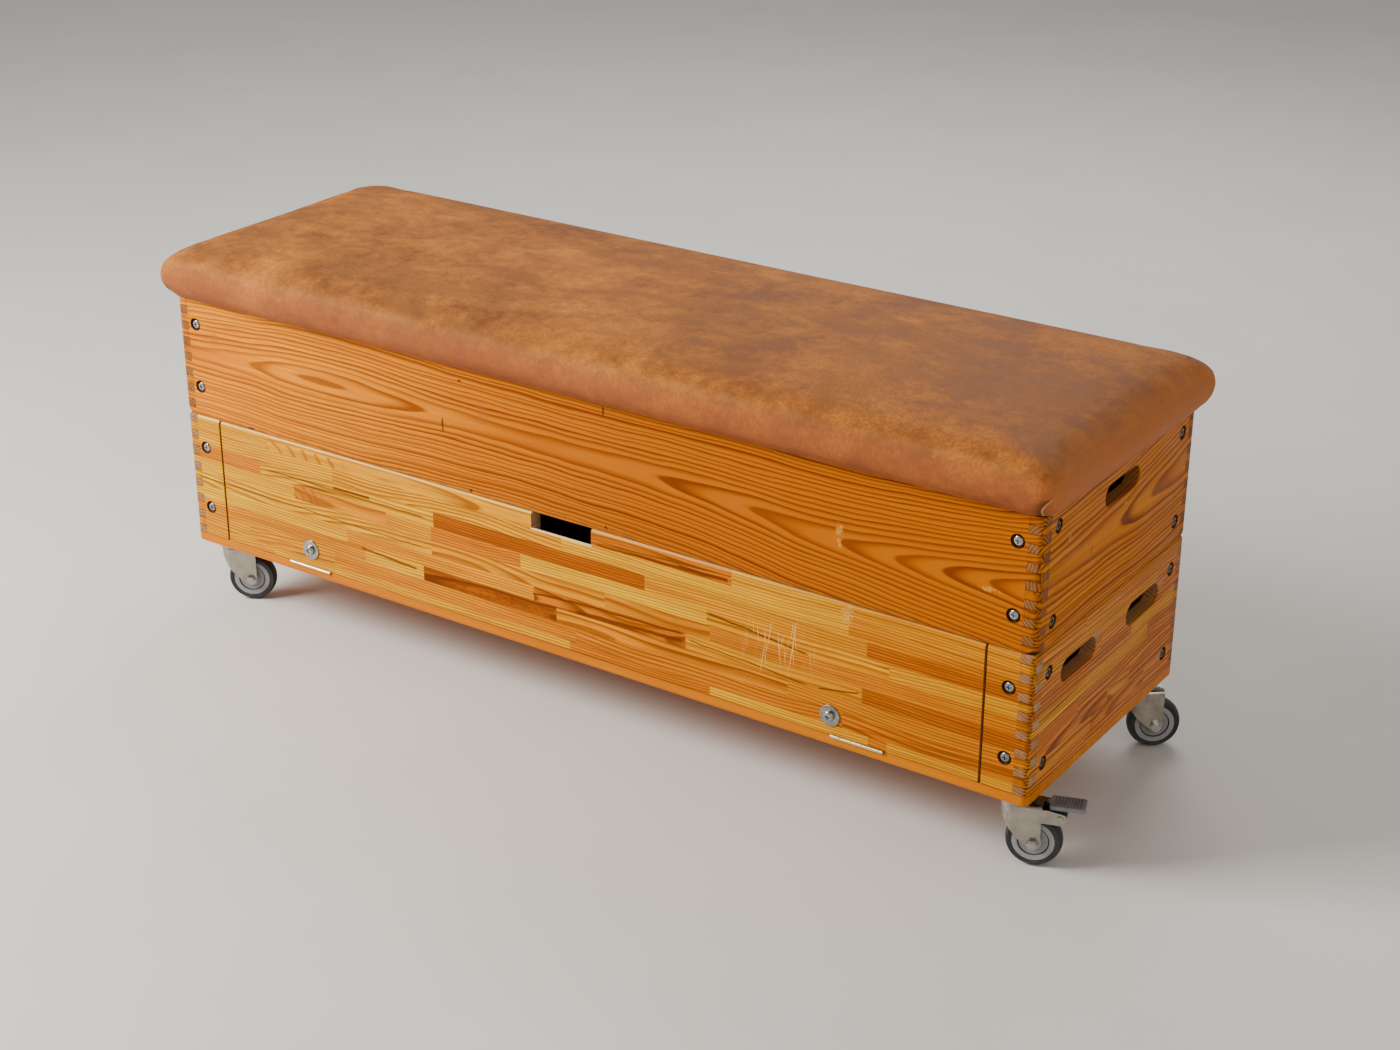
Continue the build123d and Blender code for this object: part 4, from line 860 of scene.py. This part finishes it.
def settle(obj):
    """Small unevenness of hand-stretched leather, with the underside kept on the rim."""
    for vertex in obj.data.vertices:
        co = vertex.co
        high = min(1.0, max(0.0, (co.z - RIM_TOP - HEM_H) / 0.02))
        wave = noise.noise(Vector((co.x * 5.0, co.y * 7.0, co.z * 16.0)))
        pucker = noise.noise(Vector((co.x * 17.0, co.y * 17.0, co.z * 9.0)))
        near_crease = max(0.0, 1.0 - abs(co.z - (RIM_TOP + CREASE_H)) / CREASE_W)
        push = 0.0010 * wave * high + 0.0006 * pucker * near_crease
        outward = Vector((co.x / PAD_HALF_L, co.y / PAD_HALF_W, 0.0))
        edge = max(abs(outward.x), abs(outward.y))
        if edge > 0.90:
            outward.z = 0.4
        vertex.co = co + (outward.normalized() * push if edge > 0.5 else Vector((0, 0, push)))
        inside = abs(co.x) < HALF_L - RIM_W and abs(co.y) < HALF_W - RIM_W
        vertex.co.z = max(vertex.co.z, RIM_TOP + (OVER_INSIDE if inside else OVER_RIM))
        fold_step(vertex.co)


def cushion():
    """The padded leather top."""
    obj = bpy.data.objects.new("leather_cushion", cushion_mesh(SHRINK))
    bpy.context.scene.collection.objects.link(obj)
    active(obj)
    obj.data.remesh_voxel_size = VOXEL
    bpy.ops.object.voxel_remesh()
    smooth = obj.modifiers.new("smooth", "SMOOTH")
    smooth.factor = 0.5
    smooth.iterations = 3
    apply_all(obj)
    inflate(obj)
    settle(obj)
    obj.modifiers.new("fine", "SUBSURF").levels = 1
    apply_all(obj)
    for polygon in obj.data.polygons:
        polygon.use_smooth = True
    obj.data.materials.clear()
    obj.data.materials.append(leather())
    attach(obj, "top_section")
    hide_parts("leather_cover", "foam_pad")


# ---------------------------------------------------------------- materials on the CAD nodes
CASTORS = {"front_left": 31.0, "front_right": 19.0, "rear_left": 199.0, "rear_right": 37.0}
BRAKED = ("front_right", "rear_left")


def axle_axis(castor):
    """Direction of a castor's axle, from the angle it is turned to at rest."""
    angle = radians(CASTORS[castor])
    return -sin(angle), cos(angle), 0.0


def dress_wood():
    # The shade arguments place painted shade along each board.
    paint(upper_pine("upper_front_pine", 0, FRONT_HEART, FRONT_HEART_Z, LONG_RINGS, (-0.62, 0.12),
                     FRONT_MARKS),
          "upper_front_board")
    paint(upper_pine("upper_back_pine", 0, BACK_HEART, BACK_HEART_Z, LONG_RINGS, (-0.9, 1.2), BACK_MARKS),
          "upper_back_board")
    paint(upper_pine("upper_end_pine", 1, END_HEART, END_HEART_Z, END_RINGS, (-0.8, 0.7), END_MARKS),
          "upper_end_left", "upper_end_right")
    paint(glued_staves("front_staves", 0, FRONT_STAVES, (-0.3, 0.9, 0.45), True),
          "flap_panel", "lower_stile_left", "lower_stile_right")
    paint(glued_staves("back_staves", 0, back_staves(), (-2.2, 1.2, 0.60), False), "lower_back_board")
    paint(glued_staves("end_staves", 1, END_STAVES, (-0.5, 0.2, 0.10), False),
          "lower_end_left", "lower_end_right")
    paint(orange_panel(), "base_board")
    pale, streak = (0.560, 0.370, 0.190), (0.330, 0.180, 0.075)
    paint(plain_softwood("inner_posts", 2, pale, streak), "lower_corner_posts", "upper_corner_posts",
          "flap_stop_left", "flap_stop_right")
    paint(plain_softwood("inner_rails", 0, pale, streak), "top_rails")
    paint(plain_softwood("top_plywood", 0, (0.520, 0.360, 0.200), (0.380, 0.230, 0.110)), "top_board")


def dress_metal():
    screws = plated("screw_zinc", (0.50, 0.50, 0.50), (0.20, 0.20, 0.21), 0.22, end_darkening=0.85)
    paint(screws, "lower_corner_screws", "upper_corner_screws", "base_screws", "top_board_screws",
          "castor_plate_screws", "flap_bolts", "flap_nuts")
    paint(plated("washer_zinc", (0.42, 0.42, 0.40), (0.20, 0.20, 0.19), 0.28), "flap_washers",
          "flap_inner_washers")
    paint(plated("hinge_zinc", (0.78, 0.72, 0.55), (0.60, 0.53, 0.36), 0.24), "hinge_base_leaves",
          "hinge_flap_leaves", "hinge_pins", "hinge_base_screws", "hinge_flap_screws")
    steel = plated("castor_zinc", (0.57, 0.54, 0.475), (0.31, 0.29, 0.245), 0.18, dirt=0.14)
    paint(steel, "castor_plates", "castor_kingpins", "castor_race_balls",
          *["castor_fork_" + name for name in CASTORS], *["brake_pin_" + name for name in BRAKED])
    paint(plated("axle_zinc", (0.70, 0.70, 0.68), (0.34, 0.34, 0.33), 0.20),
          *["castor_axle_" + name for name in CASTORS])
    paint(moulded("catch_paint", (0.075, 0.075, 0.080), (0.030, 0.030, 0.033), 0.5), "catch_magnets",
          "catch_plates")


def dress_castors():
    paint(rubber(), *["tyre_" + name for name in CASTORS])
    for name in CASTORS:
        paint(wheel_plastic(name), "wheel_core_" + name)
    paint(moulded("brake_black", (0.040, 0.040, 0.042), (0.016, 0.016, 0.018), 0.45),
          *["brake_cam_" + name for name in BRAKED])
    paint(moulded("pedal_grey", (0.210, 0.220, 0.230), (0.110, 0.116, 0.122), 0.5),
          *["brake_pedal_" + name for name in BRAKED])


# ---------------------------------------------------------------- floor, light and camera
# Area lights: (name, place, size, power, color).
LIGHTS = (("key", (-2.3, -2.2, 2.35), 1.7, 275.0, (1.0, 0.97, 0.92)),
          ("fill", (3.4, -1.6, 2.0), 2.4, 32.0, (1.0, 0.92, 0.82)),
          ("back", (-0.6, 2.6, 2.8), 2.0, 60.0, (1.0, 0.97, 0.93)))
LIT_SPOT = (0, 0, 0.3)                  # what they all point at
SKY = ((1.0, 0.98, 0.95, 1.0), 0.42)    # color and strength
CAMERA_PLACE = (1.8445, -2.6104, 1.6703)
CAMERA_TURN = (34.12, 65.77, 0.16)      # degrees: round Z, up from straight down, and roll
CAMERA_LENS = 61.45


def studio():
    """Pale floor, soft light from the left and a fill from the right."""
    bpy.ops.mesh.primitive_plane_add(size=24.0, location=(0, 0, 0))
    floor = bpy.context.object
    floor.name = "floor"
    g = Graph("pale_floor")
    haze = g.span(g.noise(g.point, 3.0, 3.0), 0.3, 0.7)
    color = g.mix(haze, (0.60, 0.585, 0.56), (0.63, 0.615, 0.59))
    floor.data.materials.append(g.finish(Base_Color=color, Roughness=0.7))
    world = bpy.data.worlds.new("studio")
    world.use_nodes = True
    for socket, value in zip(world.node_tree.nodes["Background"].inputs, SKY):
        socket.default_value = value
    bpy.context.scene.world = world
    for name, place, size, power, color in LIGHTS:
        lamp = bpy.data.lights.new(name, "AREA")
        lamp.size = size
        lamp.energy = power
        lamp.color = color
        light = bpy.data.objects.new(name, lamp)
        light.location = place
        light.rotation_euler = (Vector(LIT_SPOT) - Vector(place)).to_track_quat("-Z", "Y").to_euler()
        bpy.context.scene.collection.objects.link(light)


def camera():
    """The camera that sees the object from the front right."""
    data = bpy.data.cameras.new("camera")
    data.sensor_width = 36.0
    data.lens = CAMERA_LENS
    obj = bpy.data.objects.new("camera", data)
    turn, tilt, roll = [Matrix.Rotation(radians(angle), 4, axis) for angle, axis in zip(CAMERA_TURN, "ZXZ")]
    obj.matrix_world = Matrix.Translation(CAMERA_PLACE) @ (turn @ tilt) @ roll
    bpy.context.scene.collection.objects.link(obj)
    bpy.context.scene.camera = obj


dress_wood()
dress_metal()
dress_castors()
cushion()
studio()
camera()
